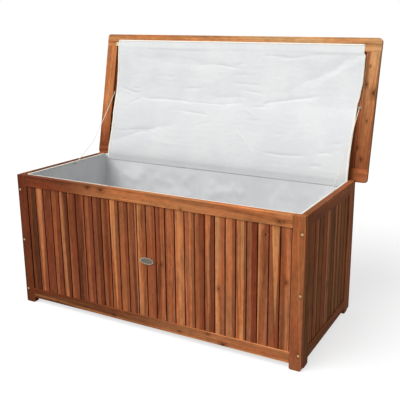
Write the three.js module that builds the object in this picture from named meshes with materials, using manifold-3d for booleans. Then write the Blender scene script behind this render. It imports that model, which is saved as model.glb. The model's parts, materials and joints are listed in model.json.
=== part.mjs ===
// Deck storage box: a slatted hardwood chest on four corners, with a hinged slatted lid, a fabric
// lining that carries on under the lid as a flap, and two stay cords that hold the lid open.
// Millimetres, +Z up. The front faces -Y, and left and right are as seen from the front.
// The lid is modelled open, leaning back against its cords.

import * as THREE from 'three';
import { mergeVertices } from 'three/addons/utils/BufferGeometryUtils.js';
import Module from 'manifold-3d';

const wasm = await Module();
wasm.setup();

// The box
const bodyWidth = 1250;
const bodyDepth = 560;
const bodyHeight = 555;
const stock = 22;               // thickness of every frame board
const postWidth = 45;           // posts and side stiles
const topRailHeight = 45;
const bottomRailHeight = 42;
const footHeight = 22;          // clear height under the bottom rails
const footRound = 8;            // rounded lower corners of posts and stiles
const ease = 1.6;               // softened long edges of the frame boards

// Clearances
const fit = 0.3;                // between pieces that touch
const endGap = 0.6;             // beyond the end of a tenon or a tongue
const beyond = 1;               // how far a cutting tool reaches past the face that it cuts

// Mortise and tenon joints
const tenonThickness = 8;
const tenonLength = 20;
const tenonShoulder = 5;        // from the tenon to the rail's edge or groove

// Slats, which stand in grooves in the rails
const slatPitch = 41.4;         // wanted distance from slat to slat
const slatGap = 2;
const slatThickness = 12;
const slatSetBack = 4;          // from the frame's outer face
const slatEase = 1.2;           // bevel on the slats' edges
const tongueLength = 8;         // how far the slats stand in the groove
const slatJoin = 5;             // height of the strip that joins a run's slats in the groove

// The lid
const lidOverhang = 42;         // past the box at each side
const lidFrontOverhang = 1;
const lidTail = 8;              // behind the hinge axis
const lidMember = 55;           // width of the lid's rails and stiles
const lidCornerRound = 14;
const lidSlatThickness = 10;
const lidSlatSetBack = 3.7;
const lidOpenAngle = 102;       // degrees from closed, where the cords come taut
const rimGap = 0.5;             // between the closed lid and the rim

// Butt hinges on the back, near both ends
const hingeInset = 205;         // from the box's side to the middle of a hinge
const hingeLength = 60;
const hingeLeafWidth = 22;
const hingeLeafThickness = 1.8;
const knuckleRadius = 5;
const knuckleGap = 0.4;
const pinRadius = 2;
const pinHeadHeight = 1.2;
const pinHeadRadius = 3;
const pinHeadTopRadius = 2.6;
const leafHoleRadius = 1.9;

// Screws in the front posts
const screwLength = 42;
const screwHeadRadius = 4.4;
const screwHeadDepth = 3;
const screwHeadRim = 0.5;       // straight edge of the head, above its cone
const screwShankRadius = 2.3;
const screwPointLength = 6;
const screwPointRadius = 0.6;
const screwSunk = 0.2;          // from the post's face to the head
const driveSlotWidth = 1;
const driveSlotDepth = 1.4;
const driveSlotLength = 5.2;
const screwFromTop = 62;        // upper screws, below the post's top
const screwFromGround = 58;     // lower screws

// Oval badge, in the middle of the front
const badgeWidth = 61;
const badgeHeight = 26;
const badgeThickness = 1.4;
const badgeRim = 2.2;
const badgeRimHeight = 0.7;
const badgeRaise = 4;           // above the middle of the slats
const badgePinRadius = 1.3;
const badgePinHeight = 0.9;
const badgePinInset = 3.4;      // from the rim to the pin's centre
const badgeSkirt = 0.5;         // from the badge's back to the rim's and the pins' roots

// Floor under the lining
const bearerSize = 22;
const bearerHeight = 30;        // underside of the bearers
const floorThickness = 12;
const floorBoards = 5;
const floorBoardGap = 8;
const floorEndGap = 1;          // from the boards' ends to the side panels
const bearerInset = 40;         // of the outer bearers, from the side panels

// Lining
const liningWall = 2;
const liningGap = 0.5;          // to the wood around it
const liningDrop = 4;           // from the rim down to the hem
const flapMargin = 26;          // from the lid's front edge to the flap
const flapSeam = 10;            // how far the flap reaches below the lining's hem
const flapFree = 0.4;           // from the flap to the lining and the lid

// Stay cords and their screw eyes
const cordDiameter = 3;
const cordSides = 8;
const cordSteps = 40;
const eyeClear = 1;             // from an eye's ring to the lining or the stile
const eyeRingRadius = 5.5;
const eyeWireRadius = 0.9;
const eyeShankLength = 12;
const boxEyeDrop = 12;          // below the rim
const boxEyeBack = 36;          // behind the middle of the side
const lidEyeReach = 290;        // from the hinge axis
const lidEyeDepth = 5;          // above the lid's underside

// Places that follow from the sizes above
const halfWidth = bodyWidth / 2;
const halfDepth = bodyDepth / 2;
const frameMiddle = stock / 2;
const hingeY = halfDepth + fit + knuckleRadius;
const lidUnderside = knuckleRadius - hingeLeafThickness;     // above the hinge axis
const hingeZ = bodyHeight + rimGap - lidUnderside;
const lidReach = hingeY + halfDepth + lidFrontOverhang;      // hinge axis to the front edge
const lidDepth = lidReach + lidTail;
const lidHalfWidth = halfWidth + lidOverhang;
const lidInnerX = lidHalfWidth - lidMember;
const innerX = halfWidth - stock;
const innerY = halfDepth - stock;
const floorTop = bearerHeight + bearerSize + fit + floorThickness;
const openAngle = THREE.MathUtils.degToRad(lidOpenAngle);

// Materials
function finish(color, roughness, metalness = 0) {
  return new THREE.MeshStandardMaterial({ color, roughness, metalness });
}
const frameWood = finish('#a8643c', 0.5);
const slatWood = finish('#96582f', 0.52);
const lidWood = finish('#b9794b', 0.48);
const floorWood = finish('#a9754c', 0.7);
const whiteFabric = finish('#e4e6e8', 0.9);
const whiteCord = finish('#e6e4dc', 0.85);
const yellowZinc = finish('#c2a35c', 0.35, 0.9);
const zincSteel = finish('#b4b6b8', 0.38, 0.9);
const pewter = finish('#85827c', 0.42, 0.9);

// Geometry helpers

// A closed solid from a three.js geometry, with its faces turned outwards.
function solidOf(geometry) {
  const bare = geometry.index ? geometry.clone() : geometry;
  bare.deleteAttribute('normal');
  bare.deleteAttribute('uv');
  const merged = mergeVertices(bare, 1e-4);
  const position = merged.attributes.position.array;
  const index = merged.index.array;
  const triangles = [];
  let volume = 0;
  for (let i = 0; i < index.length; i += 3) {
    const [a, b, c] = [index[i], index[i + 1], index[i + 2]];
    if (a === b || b === c || c === a) continue;
    triangles.push([a, b, c]);
    const [p, q, r] = [a, b, c].map((v) => new THREE.Vector3().fromArray(position, v * 3));
    volume += p.dot(q.cross(r));
  }
  const facing = triangles.map(([a, b, c]) => (volume < 0 ? [a, c, b] : [a, b, c]));
  return new wasm.Manifold(new wasm.Mesh({
    numProp: 3,
    vertProperties: new Float32Array(position),
    triVerts: new Uint32Array(facing.flat()),
  }));
}

function geometryOf(solid) {
  const mesh = solid.getMesh();
  const geometry = new THREE.BufferGeometry();
  geometry.setAttribute('position', new THREE.BufferAttribute(mesh.vertProperties, 3));
  geometry.setIndex(new THREE.BufferAttribute(mesh.triVerts, 1));
  geometry.computeVertexNormals();
  return geometry;
}

function joined(solids) {
  return solids.reduce((whole, piece) => whole.add(piece));
}

function cut(solid, tools) {
  return tools.reduce((rest, tool) => rest.subtract(tool), solid);
}

// A square-edged block between low and high on each axis.
function block(x, y, z) {
  const geometry = new THREE.BoxGeometry(x[1] - x[0], y[1] - y[0], z[1] - z[0]);
  geometry.translate((x[0] + x[1]) / 2, (y[0] + y[1]) / 2, (z[0] + z[1]) / 2);
  return solidOf(geometry);
}

// The outline of a rectangle around the origin with its four corners rounded.
function roundedRectangle(width, height, lowerRound, upperRound) {
  const [w, h] = [width / 2, height / 2];
  const outline = new THREE.Shape();
  outline.absarc(w - lowerRound, -h + lowerRound, lowerRound, -Math.PI / 2, 0);
  outline.absarc(w - upperRound, h - upperRound, upperRound, 0, Math.PI / 2);
  outline.absarc(-w + upperRound, h - upperRound, upperRound, Math.PI / 2, Math.PI);
  outline.absarc(-w + lowerRound, -h + lowerRound, lowerRound, Math.PI, Math.PI * 1.5);
  return outline;
}

// A board with softened long edges, running along the named axis.
function board(along, x, y, z) {
  const size = { x: x[1] - x[0], y: y[1] - y[0], z: z[1] - z[0] };
  const section = {
    x: [size.z, size.y],
    y: [size.x, size.z],
    z: [size.x, size.y],
  }[along];
  const outline = roundedRectangle(section[0], section[1], ease, ease);
  const geometry = new THREE.ExtrudeGeometry(outline, {
    depth: size[along], bevelEnabled: false, curveSegments: 2,
  });
  geometry.translate(0, 0, -size[along] / 2);
  if (along === 'x') geometry.rotateY(Math.PI / 2);
  if (along === 'y') geometry.rotateX(-Math.PI / 2);
  geometry.translate((x[0] + x[1]) / 2, (y[0] + y[1]) / 2, (z[0] + z[1]) / 2);
  return solidOf(geometry);
}

// A plate whose outline lies in X and Z, between two values of Y.
function plateXZ(outline, y, centreX, centreZ, segments) {
  const geometry = new THREE.ExtrudeGeometry(outline, {
    depth: y[1] - y[0], bevelEnabled: false, curveSegments: segments,
  });
  geometry.rotateX(Math.PI / 2);
  geometry.translate(centreX, y[1], centreZ);
  return solidOf(geometry);
}

// A round bar along X, Y or Z between two values on that axis.
function roundBar(along, radius, range, centre, sides) {
  const geometry = new THREE.CylinderGeometry(radius, radius, range[1] - range[0], sides);
  if (along === 'x') geometry.rotateZ(Math.PI / 2);
  if (along === 'z') geometry.rotateX(Math.PI / 2);
  const middle = (range[0] + range[1]) / 2;
  const [u, v] = centre;
  const place = { x: [middle, u, v], y: [u, middle, v], z: [u, v, middle] }[along];
  geometry.translate(...place);
  return solidOf(geometry);
}

// Frame joints. A panel is modelled lying in X and Z, with its outer face at Y = 0.

const tenonY = [frameMiddle - tenonThickness / 2, frameMiddle + tenonThickness / 2];
const mortiseY = [tenonY[0] - fit, tenonY[1] + fit];

function grooveFor(slats, x, z) {
  return block(x, [slats.y[0] - fit, slats.y[1] + fit], z);
}

// How the slats are spaced across an opening, and how thick they are.
function slatLayout(x, z, face, thickness) {
  const opening = x[1] - x[0];
  const count = Math.round((opening - slatGap) / slatPitch);
  const width = (opening - (count + 1) * slatGap) / count;
  return { count, width, z, left: x[0] + slatGap, y: [face, face + thickness] };
}

// The gap beside a slat, with the bevels of the edges on both sides of it.
function slatGapTool(slats, right, z) {
  const left = right - slatGap;
  const flare = slatEase + beyond;
  const [near, far] = slats.y;
  const outline = new THREE.Shape();
  outline.moveTo(left - flare, near - beyond);
  outline.lineTo(right + flare, near - beyond);
  outline.lineTo(right, near + slatEase);
  outline.lineTo(right, far - slatEase);
  outline.lineTo(right + flare, far + beyond);
  outline.lineTo(left - flare, far + beyond);
  outline.lineTo(left, far - slatEase);
  outline.lineTo(left, near + slatEase);
  const geometry = new THREE.ExtrudeGeometry(outline, { depth: z[1] - z[0], bevelEnabled: false });
  geometry.translate(0, 0, z[0]);
  return solidOf(geometry);
}

// A run of neighbouring slats with bevelled edges, joined to each other at their two ends, which
// are hidden in the rails' grooves.
function slatRun(slats, first, count) {
  const step = slats.width + slatGap;
  const start = slats.left + first * step;
  const end = start + count * step - slatGap;
  const [low, high] = [slats.z[0] - tongueLength, slats.z[1] + tongueLength];
  const tools = [start, end + slatGap].map((x) => slatGapTool(slats, x, [low - beyond, high + beyond]));
  for (let i = 1; i < count; i += 1) {
    tools.push(slatGapTool(slats, start + i * step, [low + slatJoin, high - slatJoin]));
  }
  return cut(block([start, end], slats.y, [low, high]), tools);
}

// The slats of one panel, split into runs of equal length.
function slatRuns(slats, runs) {
  const solids = [];
  for (let i = 0; i < runs; i += 1) {
    const first = Math.round((i * slats.count) / runs);
    const next = Math.round(((i + 1) * slats.count) / runs);
    solids.push(slatRun(slats, first, next - first));
  }
  return solids;
}

// Box panels

const topRailLow = bodyHeight - topRailHeight;
const bottomRailHigh = footHeight + bottomRailHeight;
const grooveDepth = tongueLength + endGap;
const topTenonZ = [topRailLow + grooveDepth + tenonShoulder, bodyHeight - tenonShoulder];
const bottomTenonZ = [footHeight + tenonShoulder, bottomRailHigh - grooveDepth - tenonShoulder];
const screwHeights = {
  top: bodyHeight - screwFromTop,
  middle: bodyHeight / 2,
  low: screwFromGround,
};
const badgeCentreHeight = (bottomRailHigh + topRailLow) / 2 + badgeRaise;

function bodySlats(width) {
  const opening = width / 2 - postWidth;
  return slatLayout([-opening, opening], [bottomRailHigh, topRailLow],
    slatSetBack, slatThickness);
}

// A rail between the posts, with a tenon at each end and a groove for the slats.
function bodyRail(width, z, tenonZ, grooveZ) {
  const shoulder = width / 2 - postWidth - fit;
  const tip = shoulder + fit + tenonLength;
  const rail = board('x', [-shoulder, shoulder], [0, stock], z);
  const tenons = block([-tip, tip], tenonY, tenonZ);
  const groove = grooveFor(bodySlats(width), [-tip, tip], grooveZ);
  return cut(joined([rail, tenons]), [groove]);
}

function topRail(width) {
  return bodyRail(width, [topRailLow, bodyHeight], topTenonZ,
    [topRailLow - fit, topRailLow + grooveDepth]);
}

function bottomRail(width) {
  return bodyRail(width, [footHeight, bottomRailHigh], bottomTenonZ,
    [bottomRailHigh - grooveDepth, bottomRailHigh + fit]);
}

// A post or stile down to the ground. Side is -1 for the panel's left end and 1 for its right end.
function post(width, side) {
  const outer = side * (width / 2);
  const inner = side * (width / 2 - postWidth);
  const x = [Math.min(outer, inner), Math.max(outer, inner)];
  const centre = (outer + inner) / 2;
  const bar = board('z', x, [0, stock], [0, bodyHeight]);
  const outline = roundedRectangle(postWidth, bodyHeight, footRound, ease);
  const rounded = plateXZ(outline, [0, stock], centre, bodyHeight / 2, 3);
  const floorOfMortise = inner + side * (tenonLength + endGap);
  const mortiseX = [
    Math.min(inner - side * fit, floorOfMortise),
    Math.max(inner - side * fit, floorOfMortise),
  ];
  const mortises = [topTenonZ, bottomTenonZ].map(([low, high]) => (
    block(mortiseX, mortiseY, [low - fit, high + fit])));
  return cut(bar.intersect(rounded), mortises);
}

// Screws

// A countersunk screw along +Y with its head at Y = 0, or the hole for it when room is added.
function screwBody(room) {
  const profile = [
    [0, -room],
    [screwHeadRadius + room, -room],
    [screwHeadRadius + room, screwHeadRim],
    [screwShankRadius + room, screwHeadDepth],
    [screwShankRadius + room, screwLength - screwPointLength],
    [screwPointRadius + room, screwLength + room],
    [0, screwLength + room],
  ].map(([radius, height]) => new THREE.Vector2(radius, height));
  return new THREE.LatheGeometry(profile, 10);
}

function screw() {
  const long = [-driveSlotLength / 2, driveSlotLength / 2];
  const narrow = [-driveSlotWidth / 2, driveSlotWidth / 2];
  return cut(solidOf(screwBody(0)), [
    block(long, [-beyond, driveSlotDepth], narrow),
    block(narrow, [-beyond, driveSlotDepth], long),
  ]);
}

const screwX = halfWidth - frameMiddle;

function screwHole(x, y, z) {
  const geometry = screwBody(fit);
  geometry.translate(x, y, z);
  return solidOf(geometry);
}

function frontPost(side) {
  const holes = Object.values(screwHeights).map((z) => screwHole(side * screwX, screwSunk, z));
  return cut(post(bodyWidth, side), holes);
}

// The side stile behind a front post, with the far ends of the three screw holes in its edge.
function screwedStile(side) {
  const holes = Object.values(screwHeights).map((z) => {
    const geometry = screwBody(fit);
    geometry.translate(0, screwSunk - stock - fit, 0);
    geometry.rotateZ(side * Math.PI / 2);
    geometry.translate(side * (sideWidth / 2), frameMiddle, z);
    return solidOf(geometry);
  });
  return cut(post(sideWidth, side), holes);
}

// Screw eyes

// A screw eye whose ring lies flat in X and Y. The shank runs along X from the ring's centre.
function screwEye(direction, standOff) {
  const ring = new THREE.TorusGeometry(eyeRingRadius, eyeWireRadius, 6, 12);
  const from = direction * eyeRingRadius;
  const to = direction * (standOff + eyeShankLength);
  const shank = roundBar('x', eyeWireRadius, [Math.min(from, to), Math.max(from, to)], [0, 0], 8);
  return joined([solidOf(ring), shank]);
}

const eyeOuterRadius = eyeRingRadius + eyeWireRadius;
const boxEyeStandOff = liningGap + liningWall + eyeClear + eyeOuterRadius;
const lidEyeStandOff = eyeClear + eyeOuterRadius;

// Body panels in place

const sideWidth = bodyDepth - 2 * stock - 2 * fit;
const root = new THREE.Group();
const box = new THREE.Group();
root.add(box);

function addMesh(parent, name, solid, material) {
  const mesh = new THREE.Mesh(geometryOf(solid), material);
  mesh.name = name;
  parent.add(mesh);
  return mesh;
}

function panelGroup(x, y, turn) {
  const group = new THREE.Group();
  group.position.set(x, y, 0);
  group.rotation.z = turn;
  box.add(group);
  return group;
}

function addFrontPanel() {
  const panel = panelGroup(0, -halfDepth, 0);
  addMesh(panel, 'front_left_post', frontPost(-1), frameWood);
  addMesh(panel, 'front_right_post', frontPost(1), frameWood);
  addMesh(panel, 'front_top_rail', topRail(bodyWidth), frameWood);
  addMesh(panel, 'front_bottom_rail', bottomRail(bodyWidth), frameWood);
  slatRuns(bodySlats(bodyWidth), 4).forEach((run, i) => {
    addMesh(panel, `front_slats_${i + 1}`, run, slatWood);
  });
  for (const [sideName, side] of [['left', -1], ['right', 1]]) {
    for (const [heightName, z] of Object.entries(screwHeights)) {
      const mesh = addMesh(panel, `front_screw_${sideName}_${heightName}`, screw(), yellowZinc);
      mesh.position.set(side * screwX, screwSunk, z);
    }
  }
  const back = slatSetBack - fit;
  const face = back - badgeThickness;
  const oval = new THREE.Shape().absellipse(0, 0, badgeWidth / 2, badgeHeight / 2, 0, Math.PI * 2);
  const inside = new THREE.Path().absellipse(
    0, 0, badgeWidth / 2 - badgeRim, badgeHeight / 2 - badgeRim, 0, Math.PI * 2);
  const rimOutline = oval.clone();
  rimOutline.holes.push(inside);
  const skirt = back - badgeSkirt;
  const pinX = badgeWidth / 2 - badgeRim - badgePinInset;
  const badge = joined([
    plateXZ(oval, [face, back], 0, badgeCentreHeight, 12),
    plateXZ(rimOutline, [face - badgeRimHeight, skirt], 0, badgeCentreHeight, 12),
    ...[-pinX, pinX].map((x) => roundBar('y', badgePinRadius, [face - badgePinHeight, skirt],
      [x, badgeCentreHeight], 10)),
  ]);
  addMesh(panel, 'badge_plate', badge, pewter);
}

function addBackPanel() {
  const panel = panelGroup(0, halfDepth, Math.PI);
  addMesh(panel, 'back_right_post', post(bodyWidth, -1), frameWood);
  addMesh(panel, 'back_left_post', post(bodyWidth, 1), frameWood);
  addMesh(panel, 'back_top_rail', topRail(bodyWidth), frameWood);
  addMesh(panel, 'back_bottom_rail', bottomRail(bodyWidth), frameWood);
  slatRuns(bodySlats(bodyWidth), 2).forEach((run, i) => {
    addMesh(panel, `back_slats_${i + 1}`, run, slatWood);
  });
}

// A side panel. Facing is 1 for the right side and -1 for the left side.
function addSidePanel(name, facing) {
  const panel = panelGroup(facing * halfWidth, 0, facing * Math.PI / 2);
  const frontEnd = -facing;
  const eyeX = facing * boxEyeBack;
  const eyeZ = bodyHeight - boxEyeDrop;
  const eyeHole = roundBar('y', eyeWireRadius + fit,
    [stock - eyeShankLength - fit, stock + fit], [eyeX, eyeZ], 8);
  addMesh(panel, `${name}_front_stile`, screwedStile(frontEnd), frameWood);
  addMesh(panel, `${name}_back_stile`, post(sideWidth, -frontEnd), frameWood);
  addMesh(panel, `${name}_top_rail`, cut(topRail(sideWidth), [eyeHole]), frameWood);
  addMesh(panel, `${name}_bottom_rail`, bottomRail(sideWidth), frameWood);
  addMesh(panel, `${name}_slats`, slatRuns(bodySlats(sideWidth), 1)[0], slatWood);
  const eye = addMesh(box, `box_eye_${name}`, screwEye(facing, boxEyeStandOff), zincSteel);
  eye.position.set(facing * (innerX - boxEyeStandOff), boxEyeBack, eyeZ);
}

function addFloor() {
  const bearerY = [-innerY + fit, innerY - fit];
  const bearerZ = [bearerHeight, bearerHeight + bearerSize];
  const outer = innerX - bearerInset;
  for (const [name, x] of [['left', -outer], ['centre', 0], ['right', outer]]) {
    const bearerX = [x - bearerSize / 2, x + bearerSize / 2];
    addMesh(box, `floor_bearer_${name}`, board('y', bearerX, bearerY, bearerZ), floorWood);
  }
  const depth = 2 * innerY;
  const width = (depth - (floorBoards + 1) * floorBoardGap) / floorBoards;
  for (let i = 0; i < floorBoards; i += 1) {
    const near = -innerY + floorBoardGap + i * (width + floorBoardGap);
    const plank = board('x', [-innerX + floorEndGap, innerX - floorEndGap], [near, near + width],
      [floorTop - floorThickness, floorTop]);
    addMesh(box, `floor_board_${i + 1}`, plank, floorWood);
  }
}

function addBoxLining() {
  const x = innerX - liningGap;
  const y = innerY - liningGap;
  const low = floorTop + fit;
  const high = bodyHeight - liningDrop;
  const shell = block([-x, x], [-y, y], [low, high]);
  const space = block([-x + liningWall, x - liningWall], [-y + liningWall, y - liningWall],
    [low + liningWall, high + beyond]);
  const grommet = roundBar('x', eyeWireRadius + eyeClear, [-x - beyond, x + beyond],
    [boxEyeBack, bodyHeight - boxEyeDrop], 10);
  addMesh(box, 'box_lining', cut(shell, [space, grommet]), whiteFabric);
}

// The lid, modelled as a panel lying in X and Z with its top at Y = 0: Z runs from the front edge
// to the back edge. The lid group turns it flat, and then open about the hinge axis.

const lidStileZ = [lidMember, lidDepth - lidMember];

function lidSlats() {
  return slatLayout([-lidInnerX, lidInnerX], lidStileZ,
    lidSlatSetBack, lidSlatThickness);
}

const lidTenonX = [lidInnerX + tenonShoulder, lidHalfWidth - lidCornerRound];

// A long rail of the lid. Outward is -1 for the front edge and 1 for the back edge.
function lidRail(outward) {
  const z = outward < 0 ? [0, lidMember] : [lidDepth - lidMember, lidDepth];
  const edge = outward < 0 ? z[1] : z[0];
  const bar = board('x', [-lidHalfWidth, lidHalfWidth], [0, stock], z);
  const rounds = outward < 0 ? [lidCornerRound, ease] : [ease, lidCornerRound];
  const outline = roundedRectangle(2 * lidHalfWidth, lidMember, ...rounds);
  const rounded = plateXZ(outline, [0, stock], 0, (z[0] + z[1]) / 2, 4);
  const grooveZ = [edge - outward * fit, edge + outward * grooveDepth];
  const mortiseZ = [edge - outward * fit, edge + outward * (tenonLength + endGap)];
  const sorted = (range) => [Math.min(...range), Math.max(...range)];
  const tools = [grooveFor(lidSlats(), [-lidInnerX, lidInnerX], sorted(grooveZ))];
  for (const side of [-1, 1]) {
    const x = lidTenonX.map((value) => side * value);
    const [low, high] = sorted(x);
    tools.push(block([low - fit, high + fit], mortiseY, sorted(mortiseZ)));
  }
  return cut(bar.intersect(rounded), tools);
}

// A short stile between the long rails, with a tenon at each end and a hole for the screw eye.
function lidStile(side) {
  const x = [lidInnerX, lidHalfWidth].map((value) => side * value);
  const tenonX = lidTenonX.map((value) => side * value);
  const sorted = (range) => [Math.min(...range), Math.max(...range)];
  const [low, high] = lidStileZ;
  const bar = board('z', sorted(x), [0, stock], [low + fit, high - fit]);
  const tenons = block(sorted(tenonX), tenonY, [low - tenonLength, high + tenonLength]);
  const holeX = sorted([side * (lidInnerX - fit), side * (lidInnerX + eyeShankLength + fit)]);
  const hole = roundBar('x', eyeWireRadius + fit, holeX,
    [stock - lidEyeDepth, lidReach - lidEyeReach], 8);
  return cut(joined([bar, tenons]), [hole]);
}

// The recess in the lid's back rail for one hinge leaf and its knuckles.
function hingeRecess(x) {
  const half = hingeLength / 2 + fit;
  return block([x - half, x + half], [stock - hingeLeafThickness - fit, stock + beyond],
    [lidReach - hingeLeafWidth - fit, lidDepth + beyond]);
}

const hingeXs = { left: -halfWidth + hingeInset, right: halfWidth - hingeInset };

const lid = new THREE.Group();
lid.position.set(0, hingeY, hingeZ);
lid.rotation.x = -openAngle;
root.add(lid);

function addLid() {
  const panel = new THREE.Group();
  panel.rotation.x = -Math.PI / 2;
  panel.position.set(0, -lidReach, lidUnderside + stock);
  lid.add(panel);
  const recesses = Object.values(hingeXs).map((x) => hingeRecess(x));
  addMesh(panel, 'lid_front_rail', lidRail(-1), lidWood);
  addMesh(panel, 'lid_back_rail', cut(lidRail(1), recesses), lidWood);
  addMesh(panel, 'lid_left_stile', lidStile(-1), lidWood);
  addMesh(panel, 'lid_right_stile', lidStile(1), lidWood);
  slatRuns(lidSlats(), 2).forEach((run, i) => {
    addMesh(panel, `lid_slats_${i + 1}`, run, slatWood);
  });
  for (const [name, side] of [['left', -1], ['right', 1]]) {
    const eye = addMesh(lid, `lid_eye_${name}`, screwEye(side, lidEyeStandOff), zincSteel);
    eye.position.set(side * (lidInnerX - lidEyeStandOff), -lidEyeReach, lidUnderside + lidEyeDepth);
  }
}

// Hinges. Each leaf is modelled around its own axis of turning, at Y = 0 and Z = 0.

function knuckle(x) {
  return roundBar('x', knuckleRadius, x, [0, 0], 16);
}

const pinBore = roundBar('x', pinRadius + fit, [-hingeLength, hingeLength], [0, 0], 10);
const knuckleThird = hingeLength / 3;

function leafHoles(along, across) {
  return [-1, 0, 1].map((i) => {
    const x = (i * hingeLength) / 3;
    const centre = [x, across];
    const range = along === 'y' ? [-knuckleRadius - beyond, 0] : [0, knuckleRadius + beyond];
    return roundBar(along, leafHoleRadius, range, centre, 8);
  });
}

function boxLeaf() {
  const half = hingeLength / 2;
  const inner = knuckleThird / 2 + knuckleGap / 2;
  const plate = block([-half, half], [-knuckleRadius, -knuckleRadius + hingeLeafThickness],
    [-hingeLeafWidth, 0]);
  const notch = block([-inner, inner], [-knuckleRadius - beyond, 0],
    [-knuckleRadius - knuckleGap, beyond]);
  const leaf = joined([plate, knuckle([-half, -inner]), knuckle([inner, half])]);
  const holes = leafHoles('y', -(hingeLeafWidth + knuckleRadius) / 2);
  return cut(leaf, [notch, pinBore, ...holes]);
}

function lidLeaf() {
  const half = hingeLength / 2;
  const inner = knuckleThird / 2 - knuckleGap / 2;
  const z = [lidUnderside, knuckleRadius];
  const plate = block([-half, half], [-hingeLeafWidth, 0], z);
  const notches = [-1, 1].map((side) => {
    const x = [side * inner, side * (half + beyond)].sort((a, b) => a - b);
    return block(x, [-knuckleRadius - knuckleGap, beyond], [0, knuckleRadius + beyond]);
  });
  const leaf = cut(plate, notches).add(knuckle([-inner, inner]));
  const holes = leafHoles('z', -(hingeLeafWidth + knuckleRadius) / 2);
  return cut(leaf, [pinBore, ...holes]);
}

function hingePin() {
  const half = hingeLength / 2 + fit;
  const head = half + pinHeadHeight;
  const profile = [
    [0, -head], [pinHeadTopRadius, -head], [pinHeadRadius, -half], [pinRadius, -half],
    [pinRadius, half], [pinHeadRadius, half], [pinHeadTopRadius, head], [0, head],
  ].map(([radius, height]) => new THREE.Vector2(radius, height));
  const geometry = new THREE.LatheGeometry(profile, 10);
  geometry.rotateZ(Math.PI / 2);
  return solidOf(geometry);
}

function addHinges() {
  for (const [name, x] of Object.entries(hingeXs)) {
    const fixed = addMesh(box, `hinge_${name}_box_leaf`, boxLeaf(), zincSteel);
    fixed.position.set(x, hingeY, hingeZ);
    const pin = addMesh(box, `hinge_${name}_pin`, hingePin(), zincSteel);
    pin.position.set(x, hingeY, hingeZ);
    const moving = addMesh(lid, `hinge_${name}_lid_leaf`, lidLeaf(), zincSteel);
    moving.position.set(x, 0, 0);
  }
}

// A point of the closed lid, given from the hinge axis, where it lies with the lid open.
function openedPoint(y, z) {
  const point = new THREE.Vector3(0, y, z).applyAxisAngle(new THREE.Vector3(1, 0, 0), -openAngle);
  return new THREE.Vector2(point.y + hingeY, point.z + hingeZ);
}

// The lining's flap: flat under the lid down to the cords' eyes, and from there in one easy
// curve to the lining's hem at the back.
function addLidLining() {
  const half = liningWall / 2;
  const layer = lidUnderside - flapFree - half;
  const top = openedPoint(-lidReach + flapMargin, layer);
  const leaving = openedPoint(-lidEyeReach, layer);
  const down = leaving.clone().sub(top).normalize();
  const rim = new THREE.Vector2(innerY - liningGap - liningWall - flapFree - half,
    bodyHeight - liningDrop + liningWall);
  const hem = new THREE.Vector2(rim.x, bodyHeight - liningDrop - flapSeam);
  const fall = leaving.y - rim.y;
  const upperPull = leaving.clone().addScaledVector(down, fall / 4);
  const lowerPull = new THREE.Vector2(rim.x, rim.y + fall / 3);
  const bend = new THREE.CubicBezierCurve(leaving, upperPull, lowerPull, rim);
  const middle = [top, ...bend.getPoints(9), hem];
  const side = (sign) => middle.map((point, i) => {
    const before = middle[Math.max(i - 1, 0)];
    const after = middle[Math.min(i + 1, middle.length - 1)];
    const along = after.clone().sub(before).normalize();
    return new THREE.Vector2(point.x - sign * half * along.y, point.y + sign * half * along.x);
  });
  const outline = new THREE.Shape([...side(1), ...side(-1).reverse()]);
  const width = 2 * (innerX - liningGap - liningWall - flapFree);
  const geometry = new THREE.ExtrudeGeometry(outline, { depth: width, bevelEnabled: false });
  geometry.translate(0, 0, -width / 2);
  geometry.applyMatrix4(new THREE.Matrix4().makeBasis(
    new THREE.Vector3(0, 1, 0), new THREE.Vector3(0, 0, 1), new THREE.Vector3(1, 0, 0)));
  addMesh(root, 'lid_lining', solidOf(geometry), whiteFabric);
}

// Stay cords: chosen points from the eye on the lid down to the eye on the side.
const leftRoute = [
  [-604.9, 353.6, 833.8], [-604.2, 334.0, 811.0], [-603.5, 314.0, 787.0], [-602.8, 294.0, 762.5],
  [-602.1, 274.0, 738.5], [-601.4, 254.0, 715.5], [-600.6, 234.0, 694.0], [-599.9, 214.0, 672.5],
  [-599.2, 194.0, 650.5], [-598.5, 174.5, 631.0], [-597.8, 155.0, 615.0], [-597.1, 135.0, 601.5],
  [-596.4, 115.0, 589.5], [-595.7, 95.0, 577.5], [-595.0, 75.0, 565.5], [-594.3, 55.0, 553.5],
  [-593.6, 36.0, 543.2],
];
const rightRoute = [
  [604.9, 353.6, 833.8], [604.2, 334.0, 811.0], [603.5, 314.0, 786.0], [602.8, 294.0, 760.5],
  [602.1, 274.0, 735.5], [601.4, 254.0, 711.5], [600.6, 234.0, 690.5], [599.9, 214.0, 670.5],
  [599.2, 194.0, 652.0], [598.5, 174.5, 634.5], [597.8, 155.0, 618.5], [597.1, 135.0, 603.0],
  [596.4, 115.0, 588.5], [595.7, 95.0, 575.5], [595.0, 75.0, 563.5], [594.3, 55.0, 552.5],
  [593.6, 36.0, 543.2],
];

function addCord(name, route) {
  const path = new THREE.CatmullRomCurve3(route.map((point) => new THREE.Vector3(...point)));
  const section = new THREE.Shape();
  for (let i = 0; i < cordSides; i += 1) {
    const angle = (2 * Math.PI * i) / cordSides;
    const corner = [Math.cos(angle), Math.sin(angle)].map((value) => (value * cordDiameter) / 2);
    if (i === 0) section.moveTo(...corner);
    else section.lineTo(...corner);
  }
  const geometry = new THREE.ExtrudeGeometry(section, { steps: cordSteps, extrudePath: path });
  addMesh(root, name, solidOf(geometry), whiteCord);
}

addFrontPanel();
addBackPanel();
addSidePanel('left', -1);
addSidePanel('right', 1);
addFloor();
addBoxLining();
addLid();
addHinges();
addLidLining();
addCord('stay_cord_left', leftRoute);
addCord('stay_cord_right', rightRoute);

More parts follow.
